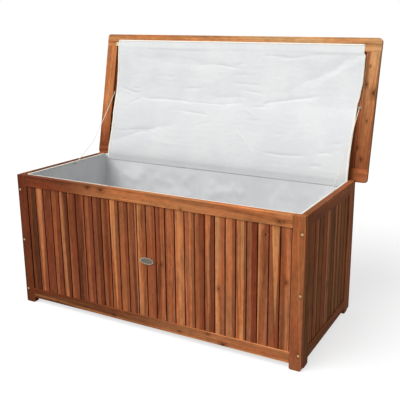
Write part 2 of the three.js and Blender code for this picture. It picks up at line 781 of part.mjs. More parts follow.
// The origin is on the ground, under the middle of the whole box with its lid open.
const backmost = openedPoint(-lidReach, lidUnderside + stock).x;
root.position.y = -(backmost - halfDepth) / 2;

export default root;
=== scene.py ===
# Deck storage box: a slatted hardwood chest on four corners, with its slatted lid standing open
# against two white stay cords, and a white fabric lining that carries on under the lid as a flap.
# Metres. The front faces -Y, and left and right are as seen from the front.

import json
import math
import random

import bpy
from mathutils import Matrix, Vector, noise

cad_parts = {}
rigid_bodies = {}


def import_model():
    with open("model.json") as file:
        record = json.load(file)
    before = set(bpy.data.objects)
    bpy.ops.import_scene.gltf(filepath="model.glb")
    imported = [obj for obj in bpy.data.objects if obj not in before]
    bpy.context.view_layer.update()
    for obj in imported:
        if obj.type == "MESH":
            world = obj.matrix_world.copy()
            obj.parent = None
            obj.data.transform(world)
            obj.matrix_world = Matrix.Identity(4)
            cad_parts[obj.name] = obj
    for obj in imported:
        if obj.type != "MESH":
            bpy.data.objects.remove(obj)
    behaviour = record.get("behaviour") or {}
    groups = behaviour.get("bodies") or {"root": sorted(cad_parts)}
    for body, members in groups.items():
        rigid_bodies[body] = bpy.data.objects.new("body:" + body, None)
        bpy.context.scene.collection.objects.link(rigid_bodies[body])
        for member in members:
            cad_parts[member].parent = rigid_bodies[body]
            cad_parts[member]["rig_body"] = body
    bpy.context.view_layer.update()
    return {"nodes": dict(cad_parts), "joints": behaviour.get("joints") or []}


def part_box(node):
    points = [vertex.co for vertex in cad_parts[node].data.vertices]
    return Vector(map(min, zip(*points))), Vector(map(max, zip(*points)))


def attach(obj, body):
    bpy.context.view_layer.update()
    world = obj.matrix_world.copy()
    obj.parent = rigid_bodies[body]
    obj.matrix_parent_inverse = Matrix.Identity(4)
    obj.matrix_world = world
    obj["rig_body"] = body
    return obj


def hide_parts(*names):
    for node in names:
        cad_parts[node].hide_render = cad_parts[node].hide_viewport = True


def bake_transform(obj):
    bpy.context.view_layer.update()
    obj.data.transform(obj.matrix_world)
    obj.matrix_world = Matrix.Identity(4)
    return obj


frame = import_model()
nodes = frame["nodes"]

# The lid hinge, which several pieces are placed from: its axis runs along X, and the lid stands
# open at the joint's rest, a fixed angle from closed.
hinge = Vector(frame["joints"][0]["pos_m"])
open_angle = math.radians(frame["joints"][0]["range_deg"][1])


def opened(point):
    """A point of the closed lid, where it lies with the lid open."""
    return hinge + Matrix.Rotation(-open_angle, 3, "X") @ (Vector(point) - hinge)


# ---- Camera ----------------------------------------------------------------------------------
# It stands to the right of the front, a little higher than the open lid's top, and looks down
# at the box through a lens of slightly over normal length.

camera_azimuth = math.radians(26.32)
camera_elevation = math.radians(14.32)
camera_roll = math.radians(0.44)

camera_data = bpy.data.cameras.new("camera")
camera_data.sensor_width = 36
camera_data.lens = 55.1
camera_data.shift_x = -0.101
camera_data.shift_y = -0.037
camera_data.clip_end = 100
camera = bpy.data.objects.new("camera", camera_data)
camera.matrix_world = (
    Matrix.Translation((1.2649, -2.1223, 1.1349))
    @ Matrix.Rotation(camera_azimuth, 4, "Z")
    @ Matrix.Rotation(math.pi / 2 - camera_elevation, 4, "X")
    @ Matrix.Rotation(camera_roll, 4, "Z")
)
bpy.context.scene.collection.objects.link(camera)
bpy.context.scene.camera = camera


# ---- Stay cords ------------------------------------------------------------------------------
# Two limp white cords, laid from three strands, hold the lid open. Each is knotted to a screw
# eye on the lid's stile and runs down in a shallow sag to an eye inside the side's top rail.


class Shader:
    """A node tree being built. Each call adds one node and gives back its first output."""

    def __init__(self, tree):
        self.tree = tree

    def feed(self, socket, value):
        if isinstance(value, bpy.types.NodeSocket):
            self.tree.links.new(value, socket)
        else:
            socket.default_value = value

    def add(self, kind, inputs, **settings):
        made = self.tree.nodes.new("ShaderNode" + kind)
        for name, value in settings.items():
            setattr(made, name, value)
        for key, value in inputs.items():
            self.feed(made.inputs[key], value)
        return made.outputs[0]

    def place(self):
        """The place on the object itself, in metres."""
        return self.add("TexCoord", {}).node.outputs["Object"]

    def math(self, operation, *values, **settings):
        return self.add("Math", dict(enumerate(values)), operation=operation, **settings)

    def times(self, first, second):
        return self.math("MULTIPLY", first, second)

    def times_plus(self, first, second, third):
        return self.math("MULTIPLY_ADD", first, second, third)

    def minus(self, first, second):
        return self.math("SUBTRACT", first, second)

    def vector(self, operation, *values):
        made = self.add("VectorMath", dict(enumerate(values)), operation=operation)
        return made.node.outputs["Value"] if operation in ("LENGTH", "DOT_PRODUCT") else made

    def scaled(self, vector, factor):
        return self.add("VectorMath", {0: vector, "Scale": factor}, operation="SCALE")

    def parts(self, vector):
        return self.add("SeparateXYZ", {0: vector}).node.outputs

    def join(self, x, y, z):
        return self.add("CombineXYZ", {0: x, 1: y, 2: z})

    def noise(self, place, scale, detail=2.0, roughness=0.5):
        """Noise of one scale, or of a scale for each direction."""
        if isinstance(scale, tuple):
            place, scale = self.vector("MULTIPLY", place, scale), 1.0
        inputs = {"Vector": place, "Scale": scale, "Detail": detail, "Roughness": roughness}
        return self.add("TexNoise", inputs)

    def bands(self, value, scale, detail=2.0):
        inputs = {"W": value, "Scale": scale, "Detail": detail}
        return self.add("TexNoise", inputs, noise_dimensions="1D")

    def soft_step(self, value, low, high):
        """0 where value is at low, 1 where it is at high, and a smooth change between them."""
        inputs = {"Value": value, "From Min": low, "From Max": high}
        return self.add("MapRange", inputs, interpolation_type="SMOOTHSTEP")

    def mix(self, share, first, second, blend="MIX"):
        made = self.tree.nodes.new("ShaderNodeMix")
        made.data_type = "RGBA"
        made.blend_type = blend
        self.feed(made.inputs["Factor"], share)
        self.feed(made.inputs[6], first)
        self.feed(made.inputs[7], second)
        return made.outputs[2]

    def ramp(self, value, colours):
        """One of the colours for each equal part of 0 to 1."""
        made = self.tree.nodes.new("ShaderNodeValToRGB")
        self.feed(made.inputs[0], value)
        made.color_ramp.interpolation = "CONSTANT"
        stops = made.color_ramp.elements
        for _ in range(len(colours) - len(stops)):
            stops.new(1.0)
        for i, colour in enumerate(colours):
            stops[i].position = i / len(colours)
            stops[i].color = colour
        return made.outputs[0]

    def bump(self, strength, distance, height, **more):
        inputs = {"Strength": strength, "Distance": distance, "Height": height, **more}
        return self.add("Bump", inputs)


def rgb(text):
    """A shader colour from a hexadecimal sRGB one."""
    parts = [int(text[i:i + 2], 16) / 255 for i in (1, 3, 5)]
    linear = [v / 12.92 if v <= 0.04045 else ((v + 0.055) / 1.055) ** 2.4 for v in parts]
    return (*linear, 1.0)


def new_group(name, inputs, outputs):
    """A shader node group with its named sockets, and the builder that fills it."""
    group = bpy.data.node_groups.new(name, "ShaderNodeTree")
    for label, value in inputs.items():
        kind = "Float" if isinstance(value, float) else "Color" if len(value) == 4 else "Vector"
        socket = group.interface.new_socket(label, in_out="INPUT", socket_type="NodeSocket" + kind)
        socket.default_value = value
    for label, kind in outputs.items():
        group.interface.new_socket(label, in_out="OUTPUT", socket_type="NodeSocket" + kind)
    builder = Shader(group)
    sources = group.nodes.new("NodeGroupInput").outputs
    targets = group.nodes.new("NodeGroupOutput").inputs
    return builder, sources, targets


def use_group(builder, name, inputs):
    made = builder.tree.nodes.new("ShaderNodeGroup")
    made.node_tree = bpy.data.node_groups[name]
    for key, value in inputs.items():
        builder.feed(made.inputs[key], value)
    return made.outputs


def new_material(name, **surface):
    """A material with a Principled surface, its plain values set on the surface's own sockets."""
    material = bpy.data.materials.new(name)
    material.use_nodes = True
    principled = material.node_tree.nodes["Principled BSDF"]
    for key, value in surface.items():
        principled.inputs[key.replace("_", " ")].default_value = value
    return material, Shader(material.node_tree), principled.inputs


def new_piece(name, points, faces, material, body=None, slot=None, smooth=True):
    """A mesh object from points and faces, riding on a body if one is given."""
    mesh = bpy.data.meshes.new(name)
    mesh.from_pydata(points, [], faces)
    mesh.polygons.foreach_set("use_smooth", [smooth] * len(faces))
    mesh.materials.append(material)
    mesh.update()
    piece = bpy.data.objects.new(name, mesh)
    bpy.context.scene.collection.objects.link(piece)
    if body:
        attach(piece, body)
    return piece


def smooth_path(points, step):
    """Points an even step apart on a smooth curve through the given ones."""
    parts = 20
    knots = [2 * points[0] - points[1], *points, 2 * points[-1] - points[-2]]
    fine = []
    for a, b, c, d in zip(knots, knots[1:], knots[2:], knots[3:]):
        for i in range(parts):
            t = i / parts
            fine.append(0.5 * ((2 * b) + (c - a) * t + (2 * a - 5 * b + 4 * c - d) * t ** 2
                               + (3 * b - a - 3 * c + d) * t ** 3))
    fine.append(points[-1])
    path = [fine[0]]
    travelled = 0.0
    for before, after in zip(fine, fine[1:]):
        travelled += (after - before).length
        if travelled >= step:
            path.append(after)
            travelled = 0.0
    path[-1] = fine[-1]
    return path


def grid_faces(rows, columns, around=False, closed=False, turned=False):
    """Quads between rows of points. Around joins each row's two ends, closed joins the last row
    to the first, and turned makes them face the other way."""
    faces = []
    for row in range(rows if closed else rows - 1):
        here = row * columns
        there = (row + 1) % rows * columns
        for i in range(columns if around else columns - 1):
            j = (i + 1) % columns
            if turned:
                faces.append((here + i, there + i, there + j, here + j))
            else:
                faces.append((here + i, here + j, there + j, there + i))
    return faces


def end_faces(rows, columns):
    """The two faces that close the first and the last row of a tube's points."""
    return [tuple(reversed(range(columns))), tuple(range((rows - 1) * columns, rows * columns))]


def joined(parts):
    """The points and faces of several parts as those of one."""
    points = []
    faces = []
    for more_points, more_faces in parts:
        faces += [tuple(v + len(points) for v in face) for face in more_faces]
        points += more_points
    return points, faces


def circle(count):
    """Angles an even step apart."""
    return [2 * math.pi * k / count for k in range(count)]


def tube(path, radius, sides, closed=False, strands=0, strand_depth=0.0, lay=1.0):
    """Points and faces of a tube along a path. A laid cord's strands wind round it, once in
    each lay's length."""
    points = []
    normal = (path[1] - path[0]).orthogonal().normalized()
    travelled = 0.0
    for i, centre in enumerate(path):
        ahead = path[min(i + 1, len(path) - 1)] - path[max(i - 1, 0)]
        ahead.normalize()
        normal = (normal - ahead * normal.dot(ahead)).normalized()
        side = ahead.cross(normal)
        if i:
            travelled += (centre - path[i - 1]).length
        for angle in circle(sides):
            wind = math.cos(strands * (angle - 2 * math.pi * travelled / lay))
            reach = radius * (1 + strand_depth * (wind - 1) / 2)
            points.append(centre + (normal * math.cos(angle) + side * math.sin(angle)) * reach)
    faces = grid_faces(len(path), sides, around=True, closed=closed)
    return points, faces if closed else faces + end_faces(len(path), sides)


cord_radius = 0.0015
cord_sides = 12
cord_strands = 3
cord_strand_depth = 0.22        # of the radius, the grooves between the strands
cord_lay = 0.011
eye_wire = 0.0009               # radius
lid_facing = opened(hinge + Vector((0, 0, 1))) - hinge

cord_white, shade, surface = new_material("cord_white", Roughness=0.85)
cord_place = shade.place()
cord_fuzz = shade.noise(cord_place, 900.0, 3.0)
cord_soil = shade.noise(cord_place, 35.0)
cord_colour = shade.mix(shade.times(cord_fuzz, cord_soil), rgb("#f8f0dc"), rgb("#dccfb0"))
shade.feed(surface["Base Color"], cord_colour)
shade.feed(surface["Normal"], shade.bump(0.5, 0.0003, cord_fuzz))

# Each route starts at the eye on the lid and ends at the eye on the side.
left_route = [
    (-0.6049, 0.2798, 0.8338), (-0.6042, 0.2602, 0.8110), (-0.6035, 0.2402, 0.7870),
    (-0.6028, 0.2202, 0.7625), (-0.6021, 0.2002, 0.7385), (-0.6014, 0.1802, 0.7155),
    (-0.6006, 0.1602, 0.6940), (-0.5999, 0.1402, 0.6725), (-0.5992, 0.1202, 0.6505),
    (-0.5985, 0.1007, 0.6310), (-0.5978, 0.0812, 0.6150), (-0.5971, 0.0612, 0.6015),
    (-0.5964, 0.0412, 0.5895), (-0.5957, 0.0212, 0.5775), (-0.5950, 0.0012, 0.5655),
    (-0.5943, -0.0188, 0.5535), (-0.5936, -0.0378, 0.5432),
]
right_route = [
    (0.6049, 0.2798, 0.8338), (0.6042, 0.2602, 0.8110), (0.6035, 0.2402, 0.7860),
    (0.6028, 0.2202, 0.7605), (0.6021, 0.2002, 0.7355), (0.6014, 0.1802, 0.7115),
    (0.6006, 0.1602, 0.6905), (0.5999, 0.1402, 0.6705), (0.5992, 0.1202, 0.6520),
    (0.5985, 0.1007, 0.6345), (0.5978, 0.0812, 0.6185), (0.5971, 0.0612, 0.6030),
    (0.5964, 0.0412, 0.5885), (0.5957, 0.0212, 0.5755), (0.5950, 0.0012, 0.5635),
    (0.5943, -0.0188, 0.5525), (0.5936, -0.0378, 0.5432),
]


def eye_ring(node):
    """The middle of a screw eye's ring, at the inner end of its shank, and the ring's radius."""
    low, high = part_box(node)
    middle = (low + high) / 2
    radius = max(high.y - low.y, high.z - low.z) / 2
    middle.x = math.copysign(min(abs(low.x), abs(high.x)) + radius, middle.x)
    return middle, radius - eye_wire


# In a knot the cord is pulled tight, so it is thinner. The tail's bends are given by how far
# they lie aside and down from the last winding.
knot_cord = 0.85 * cord_radius
knot_round = 1.55 * cord_radius         # radius of the windings
knot_loop = 0.0019                      # radius of the loop round the eye's wire
knot_start = 0.0016                     # from the cord's end to its first winding
knot_rise = 0.0013                      # along the cord, for each half turn of the windings
knot_sides = 10
knot_steps = 9                          # in a half turn
knot_loop_steps = 20
knot_aim = 8                            # steps along the cord, to where a knot points
knot_tail = ((0.0, 0.0), (0.0004, 0.0022), (0.0004, 0.0055), (0.0012, 0.0110))


def cord_knot(name, end, towards, eye, ring_facing, body, half_turns):
    """A hitch. The cord goes round the wire of the eye's ring, then winds round itself."""
    axis = (towards - end).normalized()
    side = axis.cross(Vector((1, 0, 0))).normalized()
    out = axis.cross(side)
    steps = knot_steps * half_turns
    turns = []
    for i in range(steps + 1):
        angle = math.pi * i / knot_steps
        turns.append(end + axis * (knot_start + knot_rise * half_turns * i / steps)
                     + (side * math.cos(angle) + out * math.sin(angle)) * knot_round)
    ring_middle, ring_radius = eye_ring(eye)
    across_ring = (axis - ring_facing * axis.dot(ring_facing)).normalized()
    wire = ring_middle + across_ring * ring_radius
    loop = [wire + (across_ring * math.cos(angle) + ring_facing * math.sin(angle)) * knot_loop
            for angle in circle(knot_loop_steps)]
    tail = [turns[-1] + side * aside - Vector((0, 0, down)) for aside, down in knot_tail]
    points, faces = joined([tube(turns, knot_cord, knot_sides),
                            tube(loop, knot_cord, knot_sides, closed=True),
                            tube(smooth_path(tail, 0.001), knot_cord, knot_sides)])
    return new_piece(name, points, faces, cord_white, body, "cord_white")


for side, route in (("left", left_route), ("right", right_route)):
    cord_path = smooth_path([Vector(point) for point in route], cord_radius)
    cord_end, cord_start = cord_path[-1], cord_path[0]
    laid_cord = tube(cord_path, cord_radius, cord_sides, strands=cord_strands,
                     strand_depth=cord_strand_depth, lay=cord_lay)
    cord = new_piece(f"stay_cord_{side}_laid", *laid_cord, cord_white)
    lid_knot = cord_knot(f"stay_cord_{side}_lid_knot", cord_start, cord_path[knot_aim],
                         f"lid_eye_{side}", lid_facing, "lid", half_turns=2)
    box_knot = cord_knot(f"stay_cord_{side}_box_knot", cord_end, cord_path[-1 - knot_aim],
                         f"box_eye_{side}", Vector((0, 0, 1)), "box", half_turns=5)
    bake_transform(cord)
    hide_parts(f"stay_cord_{side}")


# ---- Oiled acacia ----------------------------------------------------------------------------
# The box's boards are sawn from acacia, and all but the floor's are oiled. The growth rings are
# arcs round the tree's pith, which lies beside or behind a board, so its faces show streaks and
# its ends show arcs. Heartwood is gold to dark red brown, and paler sapwood crosses some boards.

tones = {
    "umber": rgb("#54301d"),
    "walnut": rgb("#673720"),
    "garnet": rgb("#743c26"),
    "russet": rgb("#80462b"),
    "oak": rgb("#824e24"),
    "chestnut": rgb("#8c5030"),
    "brick": rgb("#985838"),
    "copper": rgb("#a4633c"),
    "honey": rgb("#b17047"),
    "apricot": rgb("#bd784a"),
    "straw": rgb("#c18150"),
    "amber": rgb("#cf9866"),
    "deal": rgb("#cda67c"),
}

# A knot: a ragged dark oval with a halo. It lifts the ring count round it, so that rings close
# about it as they do about a branch.
build, given, wanted = new_group(
    "knot",
    {"Place": (0.0, 0.0, 0.0), "Centre": (0.0, 0.0, 0.0), "Size": 0.006},
    {"Swirl": "Float", "Dark": "Float"},
)
knot_offset = build.vector("SUBTRACT", given["Place"], given["Centre"])
knot_oval = build.vector("MULTIPLY", knot_offset, (0.6, 1.0, 0.0))
knot_reach = build.math("DIVIDE", build.vector("LENGTH", knot_oval), given["Size"])
knot_ragged = build.noise(given["Place"], (180.0, 300.0, 90.0))
knot_edge = build.times_plus(knot_ragged, 1.1, knot_reach)
knot_fall = build.math("EXPONENT", build.times(knot_reach, -0.8))
build.feed(wanted["Swirl"], build.times(knot_fall, build.times(given["Size"], 1.8)))
knot_heart = build.times(build.soft_step(knot_edge, 1.7, 0.9), 0.85)
knot_halo = build.times(build.soft_step(knot_edge, 3.6, 1.2), 0.4)
build.feed(wanted["Dark"], build.math("MAXIMUM", knot_heart, knot_halo))

# How near a point is to one of its board's edges, for the wear and the oil there, and for the
# painted highlight that the edges' bevels would catch.
build, given, wanted = new_group(
    "board edge",
    {"Place": (0.0, 0.0, 0.0), "Half Size": (0.1, 0.1, 0.1), "Width": 0.003},
    {"Edge": "Float"},
)
inset = build.vector("SUBTRACT", given["Half Size"], build.vector("ABSOLUTE", given["Place"]))
inset_x, inset_y, inset_z = build.parts(inset)
nearer = build.math("MINIMUM", inset_x, inset_y)
further = build.math("MAXIMUM", inset_x, inset_y)
second = build.math("MAXIMUM", nearer, build.math("MINIMUM", further, inset_z))
build.feed(wanted["Edge"], build.soft_step(second, given["Width"], 0.0))

# The wood itself. Place is measured along, across and through a board from its middle; the pith
# lies off across and through it, and leans across as it goes along.
build, given, wanted = new_group(
    "acacia",
    {"Place": (0.0, 0.0, 0.0), "Pith": (0.0, 0.05, -0.06), "Lean": 0.0, "Seed": 0.0,
     "Swirl": 0.0, "Knot": 0.0, "Edge": 0.0, "Sap": 0.0, "Gap Shade": 0.0,
     "Heart Colour": tones["chestnut"], "Sap Colour": tones["honey"]},
    {"Color": "Color", "Roughness": "Float", "Height": "Float"},
)
seed = given["Seed"]
offset = build.join(build.times(seed, 1.37), build.times(seed, 2.11), build.times(seed, 0.53))
spot = build.vector("ADD", given["Place"], offset)
along, across, through = build.parts(given["Place"])
pith = build.parts(given["Pith"])

# The pith's line wanders, and the rings with it.
pith_wander = 0.034
wander = build.parts(build.noise(spot, (1.9, 5.0, 5.0)).node.outputs["Color"])
off_across = build.minus(across, pith[1])
off_across = build.minus(off_across, build.times(given["Lean"], along))
off_across = build.times_plus(wander[1], pith_wander, off_across)
off_through = build.minus(through, pith[2])
off_through = build.times_plus(wander[2], pith_wander, off_through)
ring = build.math("ADD", build.vector("LENGTH", build.join(0.0, off_across, off_through)),
                  given["Swirl"])
ring_bands = build.bands(build.math("ADD", ring, seed), 78.0)
ring_lines = build.bands(build.math("ADD", ring, seed), 360.0)

# Figures that are longer along the grain than across it.
fibre = build.noise(spot, (6.0, 430.0, 430.0), 3.0, 0.6)
pores = build.soft_step(build.noise(spot, (42.0, 1500.0, 1500.0)), 0.62, 0.74)
figure = build.noise(spot, (8.0, 30.0, 30.0))
cloud = build.noise(spot, (3.2, 9.0, 9.0))
mottle = build.noise(spot, (34.0, 90.0, 90.0), 3.0, 0.6)
warmth = build.soft_step(build.noise(spot, (4.4, 38.0, 38.0), 1.0), 0.34, 0.66)

dark_band = build.times(build.soft_step(ring_bands, 0.50, 0.64), 0.52)
light_band = build.soft_step(ring_bands, 0.42, 0.34)
dark_wood = build.mix(1.0, given["Heart Colour"], (0.52, 0.46, 0.46, 1.0), "MULTIPLY")
light_wood = build.mix(1.0, given["Heart Colour"], (1.15, 1.18, 1.17, 1.0), "MULTIPLY")
colour = build.mix(dark_band, given["Heart Colour"], dark_wood)
colour = build.mix(light_band, colour, light_wood)
colour = build.mix(given["Sap"], colour, given["Sap Colour"])
warm_or_cool = build.mix(warmth, (1.08, 0.96, 0.91, 1.0), (0.96, 1.02, 1.05, 1.0))
colour = build.mix(1.0, colour, warm_or_cool, "MULTIPLY")
bright = build.times_plus(ring_lines, 0.80, -0.70)
for pattern, weight in ((fibre, 0.70), (figure, 0.65), (cloud, 0.50), (mottle, 0.82)):
    bright = build.times_plus(pattern, weight, bright)
colour = build.scaled(colour, bright)
colour = build.mix(build.times(pores, 0.30), colour, rgb("#3a2013"))
# Painted shade along the gaps between slats.
colour = build.mix(given["Gap Shade"], colour, rgb("#34100e"))
# Pale edges: wear, and painted highlight where the bevels would catch the light.
pale_edges_and_dark_creases = build.times(given["Edge"], build.times_plus(fibre, 0.8, 0.1))
colour = build.mix(pale_edges_and_dark_creases, colour, build.mix(1.0, colour, (1.7, 1.65, 1.6, 1.0), "MULTIPLY"))
colour = build.mix(given["Knot"], colour, rgb("#40200f"))
build.feed(wanted["Color"], colour)

rough = build.times_plus(pores, 0.18, 0.46)
build.feed(wanted["Roughness"], build.times_plus(fibre, 0.16, rough))
height = build.times_plus(fibre, 0.5, build.times(ring_lines, 0.35))
height = build.minus(height, build.times(pores, 0.5))
build.feed(wanted["Height"], build.minus(height, build.times(given["Knot"], 0.4)))


def squared(name):
    """Lowest and highest corner of a board, the lid's with the lid shut, when it lies square."""
    points = [vertex.co for vertex in nodes[name].data.vertices]
    if nodes[name]["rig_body"] == "lid":
        turn = Matrix.Rotation(open_angle, 3, "X")
        points = [hinge + turn @ (point - hinge) for point in points]
    low = Vector([min(point[i] for point in points) for i in range(3)])
    high = Vector([max(point[i] for point in points) for i in range(3)])
    return low, high


def square_place(shade, name):
    """The place on a board, in the frame in which the board lies square."""
    place = shade.place()
    if nodes[name]["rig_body"] == "lid":
        turn = {"Vector": place, "Center": hinge, "Axis": (1, 0, 0), "Angle": open_angle}
        place = shade.add("VectorRotate", turn, rotation_type="AXIS_ANGLE")
    return place


oiled_gloss = 0.02              # specular level: the oil has sunk in and hardly shines


def oiled(shade, surface, wood, knots, half_size):
    """Finish a surface as oiled acacia. Knots are (along, across, size), and across may be a
    socket, for a board that is one of a row."""
    swirl = 0.0
    dark = 0.0
    for place, centre, size in knots:
        knot = use_group(shade, "knot", {"Place": place, "Centre": centre, "Size": size})
        swirl = shade.math("ADD", swirl, knot["Swirl"])
        dark = shade.math("MAXIMUM", dark, knot["Dark"])
    edge = use_group(shade, "board edge", {"Place": wood["Place"], "Half Size": half_size})
    # Edges painted pale: wear, and painted highlight on the bevels.
    edge_wear_and_highlight = shade.math("MAXIMUM", edge["Edge"], wood.get("Edge", 0.0))
    wood = {**wood, "Swirl": swirl, "Knot": dark, "Edge": edge_wear_and_highlight}
    made = use_group(shade, "acacia", wood)
    shade.feed(surface["Base Color"], made["Color"])
    shade.feed(surface["Roughness"], made["Roughness"])
    shade.feed(surface["Normal"], shade.bump(0.55, 0.0007, made["Height"]))


def set_material(name, material):
    nodes[name].data.materials.clear()
    nodes[name].data.materials.append(material)


def paint_board(name, first_tone, last_tone, sap_tone="honey", sap_share=0.25, knots=(),
                turn=(-0.5, 0.4)):
    """Give one board its own piece of the tree. Its tone may change from its left, lower or
    front end to the other, at turn, which is from -1 to 1. Knots are given by their place in
    the box and their size."""
    chance = random.Random(name)
    low, high = squared(name)
    size = high - low
    through_axis, across_axis, along_axis = sorted(range(3), key=lambda axis: size[axis])
    middle = (low + high) / 2
    half_size = Vector((size[along_axis], size[across_axis], size[through_axis])) / 2
    material, shade, surface = new_material(f"acacia_{name}", Specular_IOR_Level=oiled_gloss)
    parts = shade.parts(shade.vector("SUBTRACT", square_place(shade, name), middle))
    place = shade.join(parts[along_axis], parts[across_axis], parts[through_axis])
    turned = shade.soft_step(parts[along_axis], half_size[0] * turn[0], half_size[0] * turn[1])
    heart = shade.mix(turned, tones[first_tone], tones[last_tone])
    seed = chance.uniform(1, 90)
    drift = shade.noise(shade.vector("ADD", place, (seed, 0, 0)), (1.1, 26.0, 12.0), 1.0)
    sap = shade.soft_step(drift, 0.70 - sap_share * 0.4, 0.74)
    placed = []
    for point, knot_size in knots:
        point = Vector(point) - middle
        placed.append((place, (point[along_axis], point[across_axis], 0.0), knot_size))
    wood = {
        "Place": place,
        "Pith": (0.0, chance.choice((-1, 1)) * chance.uniform(0.03, 0.13),
                 -chance.uniform(0.03, 0.1)),
        "Lean": chance.uniform(-0.05, 0.05),
        "Seed": seed,
        "Sap": sap,
        "Heart Colour": heart,
        "Sap Colour": tones[sap_tone],
    }
    oiled(shade, surface, wood, placed, half_size)
    set_material(name, material)


# ---- Frame boards ----------------------------------------------------------------------------
# Posts, stiles and rails of four panels, mortised and tenoned from boards of one thickness. The
# tones differ from board to board; the front's are the ones that are seen most.

top_rail_knots = [((-0.262, 0, 0.545), 0.006), ((-0.200, 0, 0.541), 0.007),
                  ((0.153, 0, 0.515), 0.003), ((0.533, 0, 0.527), 0.005),
                  ((0.548, 0, 0.529), 0.004)]
bottom_rail_knots = [((-0.453, 0, 0.030), 0.003), ((-0.163, 0, 0.036), 0.005),
                     ((0.140, 0, 0.038), 0.004), ((0.262, 0, 0.056), 0.004),
                     ((0.323, 0, 0.028), 0.007)]

# The wood round the front screws' heads is painted dark as at a knot: painted shade at the
# rims of their countersinks.
screw_shade_size = 0.0036
for side, post_tones, turn in (("left", ("walnut", "garnet", "russet"), (-0.5, 0.4)),
                               ("right", ("brick", "copper", "honey"), (-0.85, 0.4))):
    screw_shades = []
    for height in ("low", "middle", "top"):
        low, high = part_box(f"front_screw_{side}_{height}")
        screw_shades.append(((low + high) / 2, screw_shade_size))
    paint_board(f"front_{side}_post", *post_tones, 0.2, screw_shades, turn)

paint_board("front_top_rail", "garnet", "apricot", "straw", 0.25, top_rail_knots, (-0.8, -0.05))
paint_board("front_bottom_rail", "walnut", "honey", "straw", 0.25, bottom_rail_knots, (-0.6, 0.7))
paint_board("left_top_rail", "walnut", "walnut", "russet")
paint_board("right_top_rail", "chestnut", "brick", "copper", 0.3)
for side in ("left", "right"):
    paint_board(f"{side}_front_stile", "oak", "oak")
    paint_board(f"{side}_back_stile", "copper", "copper", "honey", 0.3)
    paint_board(f"{side}_bottom_rail", "oak", "chestnut")
    paint_board(f"back_{side}_post", "brick", "chestnut")
paint_board("back_top_rail", "copper", "brick", knots=[((0.31, 0, 0.53), 0.006)])
paint_board("back_bottom_rail", "chestnut", "brick", knots=[((-0.22, 0, 0.04), 0.005)])


# ---- Slats -----------------------------------------------------------------------------------
# Thin upright boards with bevelled edges, a narrow gap apart, whose ends stand in grooves of the
# rails. Each comes from another tree, so neighbours differ strongly, and many carry a streak of
# another tone.

slat_gap = 0.002
streak_wave = 0.22              # of a slat's width, the height of its streak's waves
streak_ripple = 0.06


